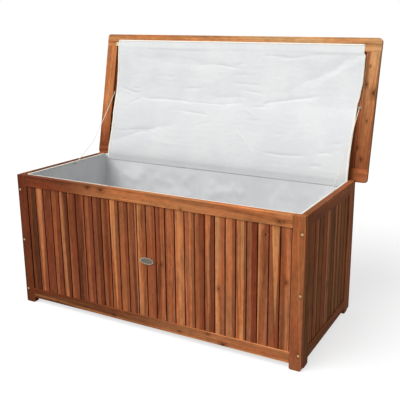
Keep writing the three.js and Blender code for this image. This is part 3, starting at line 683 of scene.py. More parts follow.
def paint_slats(names, along_axis, slats, knots=(), colour_lift=(1.19, 1.19, 1.19)):
    """Give every slat of a panel its own wood. The names run in order of the slats' places.
    A slat is (left tone, right tone, streak, place, half width, lean, taper): the streak's
    place across the slat, from 0 to 1, and how it leans and narrows towards the slat's foot. A
    knot is (slat, place across, place along, size), with both places from 0 to 1. Colour lift
    multiplies the wood's red, green and blue; the front's is larger and cooler than the others'."""
    corners = [squared(name) for name in names]
    low = Vector([min(corner[0][i] for corner in corners) for i in range(3)])
    high = Vector([max(corner[1][i] for corner in corners) for i in range(3)])
    size = high - low
    through_axis = min(range(3), key=lambda axis: size[axis])
    across_axis = 3 - along_axis - through_axis
    pitch = (size[across_axis] + slat_gap) / len(slats)
    width = pitch - slat_gap
    length = size[along_axis]
    thickness = size[through_axis]

    # Every point finds the number of its slat, and its place on it from the slat's middle.
    material, shade, surface = new_material(f"acacia_{names[0]}", Specular_IOR_Level=oiled_gloss)
    parts = shade.parts(shade.vector("SUBTRACT", square_place(shade, names[0]), low))
    number = shade.math("FLOOR", shade.math("DIVIDE", parts[across_axis], pitch))
    share = shade.math("DIVIDE", shade.math("ADD", number, 0.5), float(len(slats)))
    across = shade.minus(parts[across_axis], shade.times(number, pitch))
    across = shade.minus(across, width / 2)
    along = shade.minus(parts[along_axis], length / 2)
    through = shade.minus(parts[through_axis], thickness / 2)
    place = shade.join(along, across, through)
    side_share = shade.math("DIVIDE", across, width)
    height = shade.math("DIVIDE", along, length)

    # Its tones and its streak's shape come from ramps with one stop for each slat. A stop holds
    # 0 to 1, so the lean and the taper are moved into that and back.
    left_tone, right_tone, streak = [
        shade.ramp(share, [tones[slat[column]] for slat in slats]) for column in range(3)]
    shape = shade.ramp(share, [(slat[3], slat[4], slat[5] / 2 + 0.5, slat[6] / 4 + 0.5)
                               for slat in slats])
    streak_place, half_width, lean = shade.parts(shape)
    lean = shade.times_plus(lean, 2.0, -1.0)
    taper = shade.times_plus(shape.node.outputs["Alpha"], 4.0, -2.0)

    # The streak's edges wave, slowly and finely.
    wave = shade.noise(shade.join(shade.times(along, 5.0), number, 0.0), 1.0, 1.0)
    edge_wave = shade.noise(shade.join(shade.times(along, 26.0), number, 5.0), 1.0)
    off = shade.minus(side_share, shade.minus(streak_place, 0.5))
    off = shade.minus(off, shade.times(lean, height))
    off = shade.times_plus(wave, streak_wave, shade.minus(off, streak_wave / 2))
    off = shade.times_plus(edge_wave, streak_ripple, shade.minus(off, streak_ripple / 2))
    narrowing = shade.times(taper, shade.minus(0.5, height))
    reach = shade.times(half_width, shade.minus(1.0, narrowing))
    reach = shade.minus(reach, shade.math("ABSOLUTE", off))
    sap = shade.times(shade.soft_step(reach, -0.045, 0.035), 0.9)
    turned = shade.times_plus(wave, 0.3, side_share)
    heart = shade.mix(shade.soft_step(turned, 0.05, 0.32), left_tone, right_tone)

    # Painted shade darkens the slats along the gaps between them, and the left bevels are painted
    # pale in patches: wear, and painted highlight where the lamp at the front left would catch
    # them.
    luck = shade.add("TexWhiteNoise", {"W": number}, noise_dimensions="1D")
    luck = luck.node.outputs["Color"]
    luck_lean, luck_gap_shade, luck_wear_and_highlight = shade.parts(luck)
    from_edge = shade.minus(width / 2, shade.math("ABSOLUTE", across))
    gap_shade = shade.times(shade.soft_step(from_edge, 0.0024, 0.0009),
                        shade.times_plus(luck_gap_shade, 0.35, 0.62))
    from_left = shade.math("ADD", across, width / 2)
    patchy = shade.soft_step(edge_wave, 0.42, 0.58)
    # Painted highlight and wear on the left bevels, in patches.
    edge_wear_and_highlight = shade.times(shade.soft_step(from_left, 0.0022, 0.0032),
                         shade.soft_step(from_left, 0.0062, 0.0040))
    edge_wear_and_highlight = shade.times(edge_wear_and_highlight, shade.soft_step(luck_wear_and_highlight, 0.30, 0.75))
    edge_wear_and_highlight = shade.times(edge_wear_and_highlight, shade.times_plus(patchy, 0.7, 0.3))

    placed = []
    for slat, knot_across, knot_along, knot_size in knots:
        apart = shade.minus(number, float(slat))
        own = shade.vector("ADD", place, shade.join(0.0, apart, 0.0))
        centre = ((knot_along - 0.5) * length, (knot_across - 0.5) * width, 0.0)
        placed.append((own, centre, knot_size))
    wood = {
        "Place": place,
        "Pith": shade.vector("MULTIPLY_ADD", luck, (0.0, 0.22, -0.08), (0.0, -0.11, -0.03)),
        "Lean": shade.times_plus(luck_lean, 0.08, -0.04),
        "Seed": shade.times_plus(number, 3.7, 11.0),
        "Sap": sap,
        "Gap Shade": gap_shade,
        "Edge": edge_wear_and_highlight,
        "Heart Colour": shade.vector("MULTIPLY", heart, colour_lift),
        "Sap Colour": shade.scaled(streak, 1.12),
    }
    oiled(shade, surface, wood, placed, (length / 2, width / 2, thickness / 2))
    for name in names:
        set_material(name, material)


front_slats = [
    ("walnut", "walnut", "umber", 0.65, 0.20, 0.0, -0.6),
    ("russet", "russet", "honey", 0.46, 0.32, 0.1, 0.7),
    ("garnet", "garnet", "russet", 0.95, 0.12, 0.0, 0.8),
    ("chestnut", "russet", "garnet", 0.80, 0.20, 0.0, -1.2),
    ("russet", "walnut", "honey", 0.25, 0.20, -0.3, 0.1),
    ("chestnut", "garnet", "russet", 0.40, 0.15, -0.1, 0.0),
    ("walnut", "garnet", "brick", 0.95, 0.14, 0.0, 0.5),
    ("russet", "garnet", "brick", 0.40, 0.16, 0.0, 0.0),
    ("russet", "garnet", "walnut", 0.80, 0.20, -0.3, -0.8),
    ("russet", "russet", "walnut", 0.60, 0.14, 0.0, 0.0),
    ("chestnut", "russet", "straw", 0.38, 0.32, -0.25, 0.9),
    ("chestnut", "russet", "copper", 0.35, 0.20, 0.0, -0.4),
    ("chestnut", "garnet", "honey", 0.93, 0.13, 0.0, 0.7),
    ("copper", "chestnut", "straw", 0.10, 0.16, 0.0, 0.6),
    ("chestnut", "russet", "brick", 0.40, 0.25, 0.0, 0.0),
    ("russet", "brick", "copper", 0.65, 0.12, 0.0, 0.5),
    ("brick", "brick", "copper", 0.38, 0.16, 0.0, 0.0),
    ("copper", "copper", "apricot", 0.46, 0.20, 0.0, 0.4),
    ("brick", "chestnut", "honey", 0.58, 0.12, 0.0, 0.4),
    ("chestnut", "garnet", "russet", 0.60, 0.14, 0.0, 0.0),
    ("chestnut", "garnet", "honey", 0.35, 0.24, 0.0, 1.0),
    ("honey", "brick", "straw", 0.25, 0.20, 0.0, 0.8),
    ("copper", "brick", "honey", 0.50, 0.16, 0.0, 0.0),
    ("copper", "chestnut", "straw", 0.62, 0.13, 0.0, 0.0),
    ("brick", "russet", "garnet", 0.80, 0.25, -0.2, -0.8),
    ("copper", "brick", "apricot", 0.08, 0.16, 0.0, 0.6),
    ("russet", "russet", "straw", 0.64, 0.36, -0.12, 1.25),
    ("chestnut", "brick", "honey", 0.66, 0.14, 0.0, 0.4),
]
front_knots = [(15, 0.55, 0.50, 0.004), (21, 0.35, 0.40, 0.005), (25, 0.70, 0.90, 0.006),
               (27, 0.62, 0.56, 0.004)]


def drawn_slats(count, seed, hearts, streaks):
    """Slats for a panel that is seen less, drawn by lot from the same wood."""
    chance = random.Random(seed)
    drawn = []
    for _ in range(count):
        heart = chance.randrange(len(hearts))
        beside = min(max(heart + chance.choice((-1, 0, 0, 1)), 0), len(hearts) - 1)
        drawn.append((hearts[heart], hearts[beside], chance.choice(streaks),
                      chance.uniform(0, 1), chance.uniform(0.05, 0.22),
                      chance.uniform(-0.3, 0.3), chance.uniform(-0.5, 0.9)))
    return drawn


def panel_names(start, count):
    """The nodes of a panel's slats, in the order of their places across it."""
    found = [name for name in nodes if name.startswith(start)]
    assert len(found) == count
    return sorted(found, key=lambda name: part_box(name)[0].x)


all_hearts = ("walnut", "garnet", "russet", "chestnut", "brick", "copper", "honey")
all_streaks = ("umber", "russet", "honey", "copper", "walnut", "straw")
paint_slats(panel_names("front_slats_", 4), 2, front_slats, front_knots, (1.22, 1.28, 1.34))
paint_slats(panel_names("back_slats_", 2), 2, drawn_slats(28, "back", all_hearts, all_streaks),
            [(6, 0.4, 0.3, 0.006), (19, 0.6, 0.7, 0.005)])
side_hearts = ("oak", "oak", "oak", "chestnut", "oak", "honey")
side_streaks = ("oak", "oak", "honey", "chestnut", "umber", "straw")
paint_slats(["right_slats"], 2, drawn_slats(10, "right", side_hearts, side_streaks),
            [(4, 0.6, 0.35, 0.007)])
paint_slats(["left_slats"], 2, drawn_slats(10, "left", all_hearts, all_streaks),
            [(7, 0.4, 0.6, 0.005)])


# ---- Lid -------------------------------------------------------------------------------------
# A frame of wider boards, lighter than the box's, round a row of short slats. The long rails run
# the lid's full length and have rounded outer corners.

stile_knots = [((0.624, -0.170, 0), 0.005), ((0.655, -0.139, 0), 0.008),
               ((0.632, -0.243, 0), 0.003), ((0.641, -0.026, 0), 0.003),
               ((0.616, 0.083, 0), 0.004), ((0.634, 0.127, 0), 0.005)]

paint_board("lid_front_rail", "straw", "amber", "amber", 0.2)
paint_board("lid_back_rail", "russet", "copper", "honey", 0.2)
paint_board("lid_left_stile", "apricot", "russet", "copper", 0.2, (), (0.0, 1.1))
paint_board("lid_right_stile", "amber", "copper", "russet", 0.45, stile_knots, (-1.1, 0.7))
paint_slats(panel_names("lid_slats_", 2), 1, drawn_slats(28, "lid", all_hearts, all_streaks),
            [(3, 0.5, 0.4, 0.006), (15, 0.4, 0.7, 0.006)])


# ---- Front screws ----------------------------------------------------------------------------
# Countersunk steel screws with yellow zinc plating, three in each front post. Their cross
# recesses are painted dark: painted shade.

# Plating: two tones in soft patches, roughness that follows them, and a fine grain.
build, given, wanted = new_group(
    "plating",
    {"Place": (0.0, 0.0, 0.0), "Scale": 500.0, "Roughness": 0.3,
     "Light Colour": rgb("#ffffff"), "Dark Colour": rgb("#808080")},
    {"Color": "Color", "Roughness": "Float", "Height": "Float"},
)
patches = build.noise(given["Place"], given["Scale"], 3.0, 0.6)
share = build.soft_step(patches, 0.35, 0.65)
build.feed(wanted["Color"], build.mix(share, given["Light Colour"], given["Dark Colour"]))
build.feed(wanted["Roughness"], build.times_plus(patches, 0.24, given["Roughness"]))
build.feed(wanted["Height"], build.noise(given["Place"], build.times(given["Scale"], 7.0)))


def plated(name, light, dark, roughness, scale):
    """A plated metal, with its shader, its sockets, its colour and the place on it."""
    material, shade, surface = new_material(name, Metallic=1.0)
    place = shade.place()
    made = use_group(shade, "plating", {"Place": place, "Scale": scale, "Roughness": roughness,
                                        "Light Colour": rgb(light), "Dark Colour": rgb(dark)})
    shade.feed(surface["Base Color"], made["Color"])
    shade.feed(surface["Roughness"], made["Roughness"])
    shade.feed(surface["Normal"], shade.bump(0.25, 0.0002, made["Height"]))
    return material, shade, surface, made["Color"], place


screw_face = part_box("front_screw_left_top")[0].y
recess_depth = 0.0011
screw_metal, shade, surface, colour, place = plated(
    "screw_metal", "#ecd6a2", "#bf9d62", 0.24, 500.0)
# Painted shade in the cross recesses.
sunk = shade.soft_step(shade.parts(place)[1], screw_face + 0.0002, screw_face + recess_depth)
shade.feed(surface["Base Color"], shade.mix(sunk, colour, rgb("#2c2016")))
for name in nodes:
    if name.startswith("front_screw_"):
        set_material(name, screw_metal)


# ---- Badge -----------------------------------------------------------------------------------
# An oval plate cast in pewter, with a raised rim, held by two pins and bare in the middle. The
# rim and the pins are rubbed bright, and the ground is darker and slightly grained.

badge_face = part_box("badge_plate")[0].y
badge_rim_depth = 0.0009
badge_metal, shade, surface, colour, place = plated(
    "badge_metal", "#c9c1b4", "#aaa297", 0.36, 220.0)
raised = shade.soft_step(shade.parts(place)[1], badge_face + badge_rim_depth, badge_face)
ground = shade.mix(shade.noise(place, 900.0), rgb("#5a534b"), rgb("#82796e"))
shade.feed(surface["Base Color"], shade.mix(raised, ground, colour))
set_material("badge_plate", badge_metal)


# ---- Hinges ----------------------------------------------------------------------------------
# Two butt hinges of zinc plated steel behind the top of the back. Each leaf is held by three
# pan-head screws with cross recesses, and the back posts have screws like the front's.

hinge_metal = plated("hinge_metal", "#a9adb2", "#868b91", 0.34, 90.0)[0]
back_screw_metal = plated("back_screw_metal", "#d9bd85", "#a98a55", 0.28, 500.0)[0]
for name in nodes:
    if name.startswith("hinge_") or "_eye_" in name:
        set_material(name, hinge_metal)


def screw_head(middle, outward, radius, height, turn):
    """Points and faces of a domed screw head with a cross recess. It stands on its middle."""
    outward = Vector(outward)
    side = outward.orthogonal().normalized()
    over = outward.cross(side)
    rings = (1.0, 0.98, 0.86, 0.64, 0.46, 0.30, 0.12)
    around = 32
    recess = 0.75               # of the head's height
    points = []
    for share in rings:
        for angle in circle(around):
            rise = height * math.sqrt(1 - (share * 0.92) ** 2) if share < 1 else 0.0
            arm = abs(math.cos(2 * (angle + turn)))
            if share < 1 and share < 0.6 * arm ** 6 + 0.16:
                rise -= height * recess
            flat = side * math.cos(angle) + over * math.sin(angle)
            points.append(Vector(middle) + flat * radius * share + outward * rise)
    faces = grid_faces(len(rings), around, around=True)
    return points, faces + end_faces(len(rings), around)


leaf_thickness = 0.0018
lid_under = 0.0032              # from the hinge's axis up to the shut lid's underside
hinge_hole_step = 0.020
hinge_hole_off = 0.0135         # from the hinge's axis to the holes
hinge_screw_radius = 0.0031
hinge_screw_height = 0.0014
back_screw_height = 0.0009
back_screw_sunk = 0.0004
most_turn = 1.5                 # radians, of a screw's recess
chance = random.Random("screw heads")


def hinge_screw(middle, outward):
    return screw_head(middle, outward, hinge_screw_radius, hinge_screw_height,
                      chance.uniform(0, most_turn))


for side in ("left", "right"):
    leaf_low, leaf_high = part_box(f"hinge_{side}_box_leaf")
    middle_x = (leaf_low.x + leaf_high.x) / 2
    box_heads = []
    lid_heads = []
    for x in (middle_x - hinge_hole_step, middle_x, middle_x + hinge_hole_step):
        hole = (x, leaf_low.y + leaf_thickness, hinge.z - hinge_hole_off)
        box_heads.append(hinge_screw(hole, (0, 1, 0)))
        under = opened((x, hinge.y - hinge_hole_off, hinge.z + lid_under - leaf_thickness))
        below = opened((x, hinge.y - hinge_hole_off, hinge.z - 1))
        lid_heads.append(hinge_screw(under, (below - under).normalized()))
    back_heads = []
    for height in ("top", "middle", "low"):
        low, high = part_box(f"front_screw_{side}_{height}")
        middle = (low + high) / 2
        middle.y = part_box(f"back_{side}_post")[1].y - back_screw_sunk
        back_heads.append(screw_head(middle, (0, 1, 0), (high.x - low.x) / 2, back_screw_height,
                                     chance.uniform(0, most_turn)))
    for name, heads, material, body, slot in (
            (f"hinge_{side}_box_screws", box_heads, hinge_metal, "box", "hinge_metal"),
            (f"hinge_{side}_lid_screws", lid_heads, hinge_metal, "lid", "hinge_metal"),
            (f"back_screws_{side}", back_heads, back_screw_metal, "box", "screw_metal")):
        new_piece(name, *joined(heads), material, body, slot, smooth=False)


# ---- Floor -----------------------------------------------------------------------------------
# Five planed boards on three bearers, of the same wood left without oil, so it is pale and dull.
# The lining covers them, and they show only from below.

for name in nodes:
    if name.startswith("floor_"):
        paint_board(name, "deal", "straw", "deal", 0.3)


# ---- Box lining ------------------------------------------------------------------------------
# A bag of white coated polyester, cut as one cross and sewn up its four corners. It is stapled
# inside the rails and lies loose on the floor, so its sides wrinkle. A welt finishes its rim at
# the front and the sides, and at the back it carries on as the flap.

cloth_thickness = 0.0005
thread_step = 0.0009            # between the threads of the weave

# A plain weave, by how high its threads stand.
build, given, wanted = new_group("weave", {"Place": (0.0, 0.0, 0.0)}, {"Threads": "Float"})
threads = build.vector("SINE", build.scaled(given["Place"], 2 * math.pi / thread_step))
threads = build.vector("ABSOLUTE", threads)
build.feed(wanted["Threads"], build.vector("DOT_PRODUCT", threads, (0.33, 0.33, 0.33)))

lining_fabric, shade, surface = new_material("lining_fabric", Sheen_Weight=0.08,
                                             Specular_IOR_Level=0.3)
place = shade.place()
weave = use_group(shade, "weave", {"Place": place})["Threads"]
tone = shade.noise(place, 7.0, 3.0, 0.6)
crumple = shade.noise(place, (38.0, 60.0, 70.0), 3.0, 0.55)
ridges = shade.math("ABSOLUTE", shade.minus(crumple, 0.5))
colour = shade.mix(shade.soft_step(tone, 0.36, 0.66), rgb("#e4e5e7"), rgb("#ebecec"))
# Painted shade along the creases of the crumples.
pale_edges_and_dark_creases = shade.times(shade.soft_step(ridges, 0.03, 0.0), 0.12)
colour = shade.mix(pale_edges_and_dark_creases, colour, rgb("#cdcfd0"))
colour = shade.mix(shade.times(weave, 0.16), colour, rgb("#bbbdbf"))
# Painted shade: the flap is darker towards its foot, and the bag with it.
height = shade.vector("DOT_PRODUCT", place, (0.12, 0.0, 1.0))
painted_shade_to_foot = shade.times_plus(shade.soft_step(height, 0.62, 1.05), 0.15, 0.90)
shade.feed(surface["Base Color"], shade.scaled(colour, painted_shade_to_foot))
shade.feed(surface["Roughness"], shade.times_plus(tone, 0.2, 0.5))
thread_bump = shade.bump(0.25, 0.0002, weave)
shade.feed(surface["Normal"], shade.bump(0.2, 0.0018, ridges, Normal=thread_bump))

lining_hem, shade, surface = new_material("lining_hem", Roughness=0.6, Specular_IOR_Level=0.3)
place = shade.place()
weave = use_group(shade, "weave", {"Place": place})["Threads"]
soil = shade.soft_step(shade.noise(place, 60.0, 3.0), 0.4, 0.75)
colour = shade.mix(soil, rgb("#f8f4e8"), rgb("#eeebde"))
colour = shade.mix(shade.times(weave, 0.12), colour, rgb("#d0cdc2"))
shade.feed(surface["Base Color"], colour)
shade.feed(surface["Normal"], shade.bump(0.3, 0.0002, weave))

bag_low, bag_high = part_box("box_lining")
bag_middle = (bag_low + bag_high) / 2
bag_half_x = (bag_high.x - bag_low.x) / 2 - cloth_thickness
bag_half_y = (bag_high.y - bag_low.y) / 2 - cloth_thickness
bag_floor = bag_low.z + cloth_thickness
bag_corner = 0.014              # radius, up the corners and along the foot of the sides
bag_wrinkle = 0.007             # how far it stands off the boards
bag_cells_x = 110
bag_cells_y = 48
bag_wall_rows = 38
bag_foot_rows = 6               # round the foot of the sides
bag_edge_cells = 5              # of the floor, over which its wrinkles rise


def stretched_noise(point, scales, seed):
    return noise.noise(Vector([point[i] * scales[i] for i in range(3)]) + Vector((seed, 0, 0)))


def bag_place(i, j):
    return (bag_half_x * (2 * i / bag_cells_x - 1), bag_half_y * (2 * j / bag_cells_y - 1))


def rounded_corner(x, y):
    """A point of the bag's square outline, moved in where it lies at a corner."""
    to_x = bag_half_x - abs(x)
    to_y = bag_half_y - abs(y)
    if to_x + to_y >= bag_corner:
        return x, y
    angle = (0.5 + (to_y - to_x) / (2 * bag_corner)) * math.pi / 2
    new_x = bag_half_x - bag_corner * (1 - math.sin(angle))
    new_y = bag_half_y - bag_corner * (1 - math.cos(angle))
    return math.copysign(new_x, x), math.copysign(new_y, y)


# Its walls, in rows round its outline from the rim down and round the foot.
outline = [(i, 0) for i in range(bag_cells_x)]
outline += [(bag_cells_x, j) for j in range(bag_cells_y)]
outline += [(bag_cells_x - i, bag_cells_y) for i in range(bag_cells_x)]
outline += [(0, bag_cells_y - j) for j in range(bag_cells_y)]
bag_rows = bag_wall_rows + bag_foot_rows
wall_height = bag_high.z - bag_floor - bag_corner
bag_points = []
for row in range(bag_rows + 1):
    if row <= bag_wall_rows:
        inset, z = 0.0, bag_high.z - wall_height * row / bag_wall_rows
    else:
        turn = (row - bag_wall_rows) / bag_foot_rows * math.pi / 2
        inset = bag_corner * (1 - math.cos(turn))
        z = bag_floor + bag_corner * (1 - math.sin(turn))
    loose = min(max((bag_high.z - z - 0.02) / 0.06, 0), 1) * min((z - bag_floor) / 0.05, 1)
    for i, j in outline:
        x, y = rounded_corner(*bag_place(i, j))
        x *= 1 - inset / bag_half_x
        y *= 1 - inset / bag_half_y
        spot = Vector((x + bag_middle.x, y + bag_middle.y, z))
        inward_x = -x if i in (0, bag_cells_x) else 0
        inward_y = -y if j in (0, bag_cells_y) else 0
        inward = Vector((inward_x, inward_y, 0)).normalized()
        folds = stretched_noise(spot, (11, 11, 3.4), 3)
        folds += 0.6 * stretched_noise(spot, (24, 24, 30), 8)
        spot += inward * bag_wrinkle * loose * max(folds + 0.25, 0)
        bag_points.append(spot)
bag_faces = grid_faces(bag_rows + 1, len(outline), around=True)

# Its floor starts from the walls' last row.
on_floor = {cell: bag_rows * len(outline) + k for k, cell in enumerate(outline)}
for i in range(1, bag_cells_x):
    for j in range(1, bag_cells_y):
        x, y = bag_place(i, j)
        spot = Vector((x * (1 - bag_corner / bag_half_x) + bag_middle.x,
                       y * (1 - bag_corner / bag_half_y) + bag_middle.y, bag_floor))
        loose = min(min(i, j, bag_cells_x - i, bag_cells_y - j) / bag_edge_cells, 1)
        folds = stretched_noise(spot, (7, 12, 1), 21) + 0.5 * stretched_noise(spot, (22, 18, 1), 5)
        spot.z += bag_wrinkle * loose * max(folds + 0.15, 0)
        on_floor[(i, j)] = len(bag_points)
        bag_points.append(spot)
for i in range(bag_cells_x):
    for j in range(bag_cells_y):
        bag_faces.append((on_floor[(i, j)], on_floor[(i + 1, j)], on_floor[(i + 1, j + 1)],
                          on_floor[(i, j + 1)]))


def thicken(piece, thickness):
    layer = piece.modifiers.new("thickness", "SOLIDIFY")
    layer.thickness = thickness
    layer.offset = 0


bag = new_piece("box_lining_bag", bag_points, bag_faces, lining_fabric, "box", "lining_fabric")
thicken(bag, cloth_thickness)
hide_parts("box_lining")

# The welt is the rim folded over a soft filler, with a sewn groove along its inner side. The
# stay cords press it in where they cross it.
welt_width = 0.0095
welt_height = 0.0042
welt_top = 0.5542
welt_back = 0.012               # from the back, where it stops
welt_step = 0.006
welt_sides = 16
welt_fold = 0.0008              # left free on either side, for its waves
welt_pressed = 0.45             # of its width, under a cord
cord_crossing = -0.023 - bag_middle.y
press_length = 0.014
groove_angle = 0.95             # radians, from the welt's inner side up
groove_width = 0.22             # radians
groove_depth = 0.0007

edge_x = bag_half_x - welt_width / 2
edge_y = bag_half_y - welt_width / 2
corners = [(-edge_x, edge_y - welt_back), (-edge_x, -edge_y), (edge_x, -edge_y),
           (edge_x, edge_y - welt_back)]
welt_path = []
for start, end in zip(corners, corners[1:]):
    steps = int(math.dist(start, end) / welt_step)
    for k in range(steps + (end == corners[-1])):
        x = start[0] + (end[0] - start[0]) * k / steps
        y = start[1] + (end[1] - start[1]) * k / steps
        welt_path.append(Vector((x, y, 0)))
for _ in range(3):
    inner = [(a + b * 2 + c) / 4 for a, b, c in zip(welt_path, welt_path[1:], welt_path[2:])]
    welt_path = [welt_path[0], *inner, welt_path[-1]]

last = len(welt_path) - 1
welt_points = []
for k, spot in enumerate(welt_path):
    ahead = (welt_path[min(k + 1, last)] - welt_path[max(k - 1, 0)]).normalized()
    inward = Vector((-ahead.y, ahead.x, 0))
    wave = noise.noise(spot * 9)
    small = noise.noise(spot * 45 + Vector((7, 0, 0)))
    size = 0.35 + 0.65 * math.sin(min(k, last - k, 2) * math.pi / 4)
    pressed = 0.0
    if abs(spot.x) > edge_x - 0.001:
        pressed = welt_pressed * math.exp(-((spot.y - cord_crossing) / press_length) ** 2)
    middle = spot + inward * (0.0006 * (wave + 0.6) * (1 - pressed) - welt_width / 2 * pressed)
    for angle in circle(welt_sides):
        off = math.cos(angle) * (welt_width / 2 - welt_fold) * size * (1 + 0.12 * small)
        rise = math.sin(angle) * welt_height / 2 * size
        rise -= math.exp(-((angle - groove_angle) / groove_width) ** 2) * groove_depth
        z = welt_top - welt_height / 2 + rise - 0.0004 * max(small, 0)
        at = middle + inward * off * (1 - pressed)
        welt_points.append(Vector((at.x + bag_middle.x, at.y + bag_middle.y, z)))
welt_faces = grid_faces(len(welt_path), welt_sides, around=True)
welt_faces += end_faces(len(welt_path), welt_sides)
welt = new_piece("box_lining_welt", welt_points, welt_faces, lining_hem, "box", "lining_fabric")


# ---- Flap under the lid ----------------------------------------------------------------------
# The back of the lining carries on up as one loose sheet, fixed under the lid's front rail. It
# lies in the lid's frame down to the cords' eyes, then falls clear and goes down inside the back.
# It has been folded in its packing and pulled about since, so it is creased all over.

flap_reach = 0.5403             # from the hinge's axis to the flap's upper edge
flap_free = 0.290               # and to where it leaves the lid
flap_off = 0.00035              # from the lid's underside to the middle of the sheet
flap_rim = Vector((0, 0.1803, 0.553))
flap_end = Vector((0, 0.1822, 0.5250))

# Its middle line: straight along the lid, in a curve down to the box's rim, and straight down.
upper = opened((0, hinge.y - flap_reach, hinge.z + lid_under - flap_off))
free = opened((0, hinge.y - flap_free, hinge.z + lid_under - flap_off))
fall = free.z - flap_rim.z
hang_from = free + (free - upper).normalized() * fall / 6
hang_to = flap_rim + Vector((0, 0, fall / 4.5))
lid_steps = 60
fall_steps = 80
rim_steps = 6
flap_line = [upper.lerp(free, k / lid_steps) for k in range(lid_steps)]
for k in range(fall_steps + 1):
    t = k / fall_steps
    flap_line.append(free * (1 - t) ** 3 + hang_from * 3 * t * (1 - t) ** 2
                     + hang_to * 3 * t ** 2 * (1 - t) + flap_rim * t ** 3)
flap_line += [flap_rim.lerp(flap_end, k / rim_steps) for k in range(1, rim_steps + 1)]
flap_travel = [0.0]
for before, after in zip(flap_line, flap_line[1:]):
    flap_travel.append(flap_travel[-1] + (after - before).length)
flap_length = flap_travel[-1]


def along_flap(down):
    """The place on the flap's middle line at a distance down it, and the way it faces."""
    k = 0
    while k < len(flap_travel) - 2 and flap_travel[k + 1] < down:
        k += 1
    share = (down - flap_travel[k]) / (flap_travel[k + 1] - flap_travel[k])
    run = (flap_line[k + 1] - flap_line[k]).normalized()
    return flap_line[k].lerp(flap_line[k + 1], share), Vector((0, run.z, -run.y))


# Half widths of the flap at distances down it: it narrows where it hangs free. Its nominal half
# width turns lengths across it into shares of it.
flap_half = 0.6
flap_left = [(0, 0.6015), (0.03, 0.602), (0.063, 0.601), (0.156, 0.596), (0.25, 0.593),
             (0.339, 0.590), (0.392, 0.584), (0.447, 0.580), (0.60, 0.584)]
flap_right = [(0, 0.602), (0.036, 0.602), (0.047, 0.608), (0.15, 0.608), (0.20, 0.603),
              (0.25, 0.5965), (0.40, 0.596), (0.50, 0.599), (0.60, 0.601)]


def between(table, value):
    for (a, first), (b, second) in zip(table, table[1:]):
        if value <= b:
            share = max((value - a) / (b - a), 0)
            share = share * share * (3 - 2 * share)
            return first + (second - first) * share
    return table[-1][1]


# Creases run from one point of the flap to another, in millimetres across it and down it. Each
# has the width of its hollow and its depth, and a ridge has a depth below nought.
flap_creases = [
    ((-545, 14), (-450, 16), 4, 1.8),
    ((-425, 38), (-350, 20), 10, 1.4),
    ((-420, 82), (-35, 106), 24, 3.6),
    ((-65, 100), (45, 113), 4.5, 1.6),
    ((45, 100), (80, 92), 4, 1.2),
    ((152, 104), (165, 50), 4, -1.0),
    ((180, 57), (280, 60), 4, 1.5),
    ((240, 69), (350, 57), 4, 1.5),
    ((360, 53), (505, 36), 10, 1.4),
    ((600, 38), (325, 185), 34, 3.4),
    ((585, 70), (420, 172), 14, -1.2),
    ((-315, 166), (-285, 170), 4, 1.0),
    ((-200, 214), (-125, 208), 4, 1.5),
    ((25, 141), (105, 144), 4, 1.1),
    ((45, 179), (150, 182), 4, 1.6),
    ((-560, 226), (-480, 248), 4, 2.0),
    ((-500, 248), (-450, 242), 4, 1.8),
    ((-495, 226), (-455, 226), 4, 1.2),
    ((-510, 300), (-440, 267), 4, 1.8),
    ((-420, 270), (-340, 270), 5, 2.0),
    ((-365, 267), (-210, 270), 5, 2.2),
    ((-220, 273), (-20, 276), 4.5, 1.6),
    ((-210, 317), (-85, 327), 4, 2.2),
    ((-215, 279), (-175, 289), 4, -1.2),
    ((-10, 276), (75, 264), 4, 1.6),
    ((-45, 245), (85, 239), 9, 1.8),
    ((85, 207), (180, 220), 4.5, 1.3),
    ((140, 279), (210, 273), 4, 1.8),
    ((185, 267), (225, 245), 4, 1.5),
    ((220, 254), (410, 220), 6.5, 2.6),
    ((105, 289), (145, 314), 4, -1.4),
    ((85, 396), (125, 424), 4, -1.5),
    ((120, 421), (170, 474), 4, -1.5),
    ((-525, 433), (-370, 414), 5, 2.2),
    ((-565, 480), (-270, 390), 24, 3.6),
    ((-445, 436), (-380, 424), 4, 1.4),
    ((-350, 468), (-225, 474), 14, -1.4),
    ((230, 471), (310, 474), 4.5, 2.2),
    ((300, 474), (400, 468), 6, 2.2),
    ((465, 452), (520, 446), 5, 2.2),
    ((440, 506), (485, 502), 7, 2.6),
    ((520, 408), (555, 405), 5, 1.8),
    ((390, 248), (435, 500), 6, -0.8),
    ((-425, 55), (-415, 150), 7, -0.7),
    ((135, 336), (195, 336), 4, 0.8),
    ((270, 386), (315, 386), 4, 1.0),
    ((-115, 374), (-45, 358), 5, 1.2),
]
flap_creases = [
    (Vector(start) / 1000, Vector(end) / 1000, width / 1000, depth / 1000)
    for start, end, width, depth in flap_creases
]
crease_past = 0.2               # of a crease's length, by which it runs out past its ends


def flap_lift(x, down):
    """How far the flap stands out from its middle line, by its waves and its creases."""
    spot = Vector((x, down, 0))
    lift = 0.0020 * stretched_noise(spot, (2.1, 4.0, 0), 2)
    lift += 0.0006 * stretched_noise(spot, (6.5, 15.0, 0), 9)
    lift += 0.0003 * (0.4 - abs(stretched_noise(spot, (14.0, 40.0, 0), 5)) * 2)
    for start, end, width, depth in flap_creases:
        if abs(down - (start[1] + end[1]) / 2) > abs(end[1] - start[1]) / 2 + 3 * width:
            continue
        run_x, run_y = end[0] - start[0], end[1] - start[1]
        length = math.hypot(run_x, run_y)
        along = ((x - start[0]) * run_x + (down - start[1]) * run_y) / length ** 2
        if not -crease_past < along < 1 + crease_past:
            continue
        across = ((down - start[1]) * run_x - (x - start[0]) * run_y) / length
        across += 0.35 * width * noise.noise(Vector((x * 30, down * 8, 0)))
        done = min(max((along + crease_past) / (1 + 2 * crease_past), 0), 1)
        ends = math.sin(math.pi * done) ** 0.8
        lift -= depth * ends * math.exp(-abs(across / width) ** 1.2)
    return lift


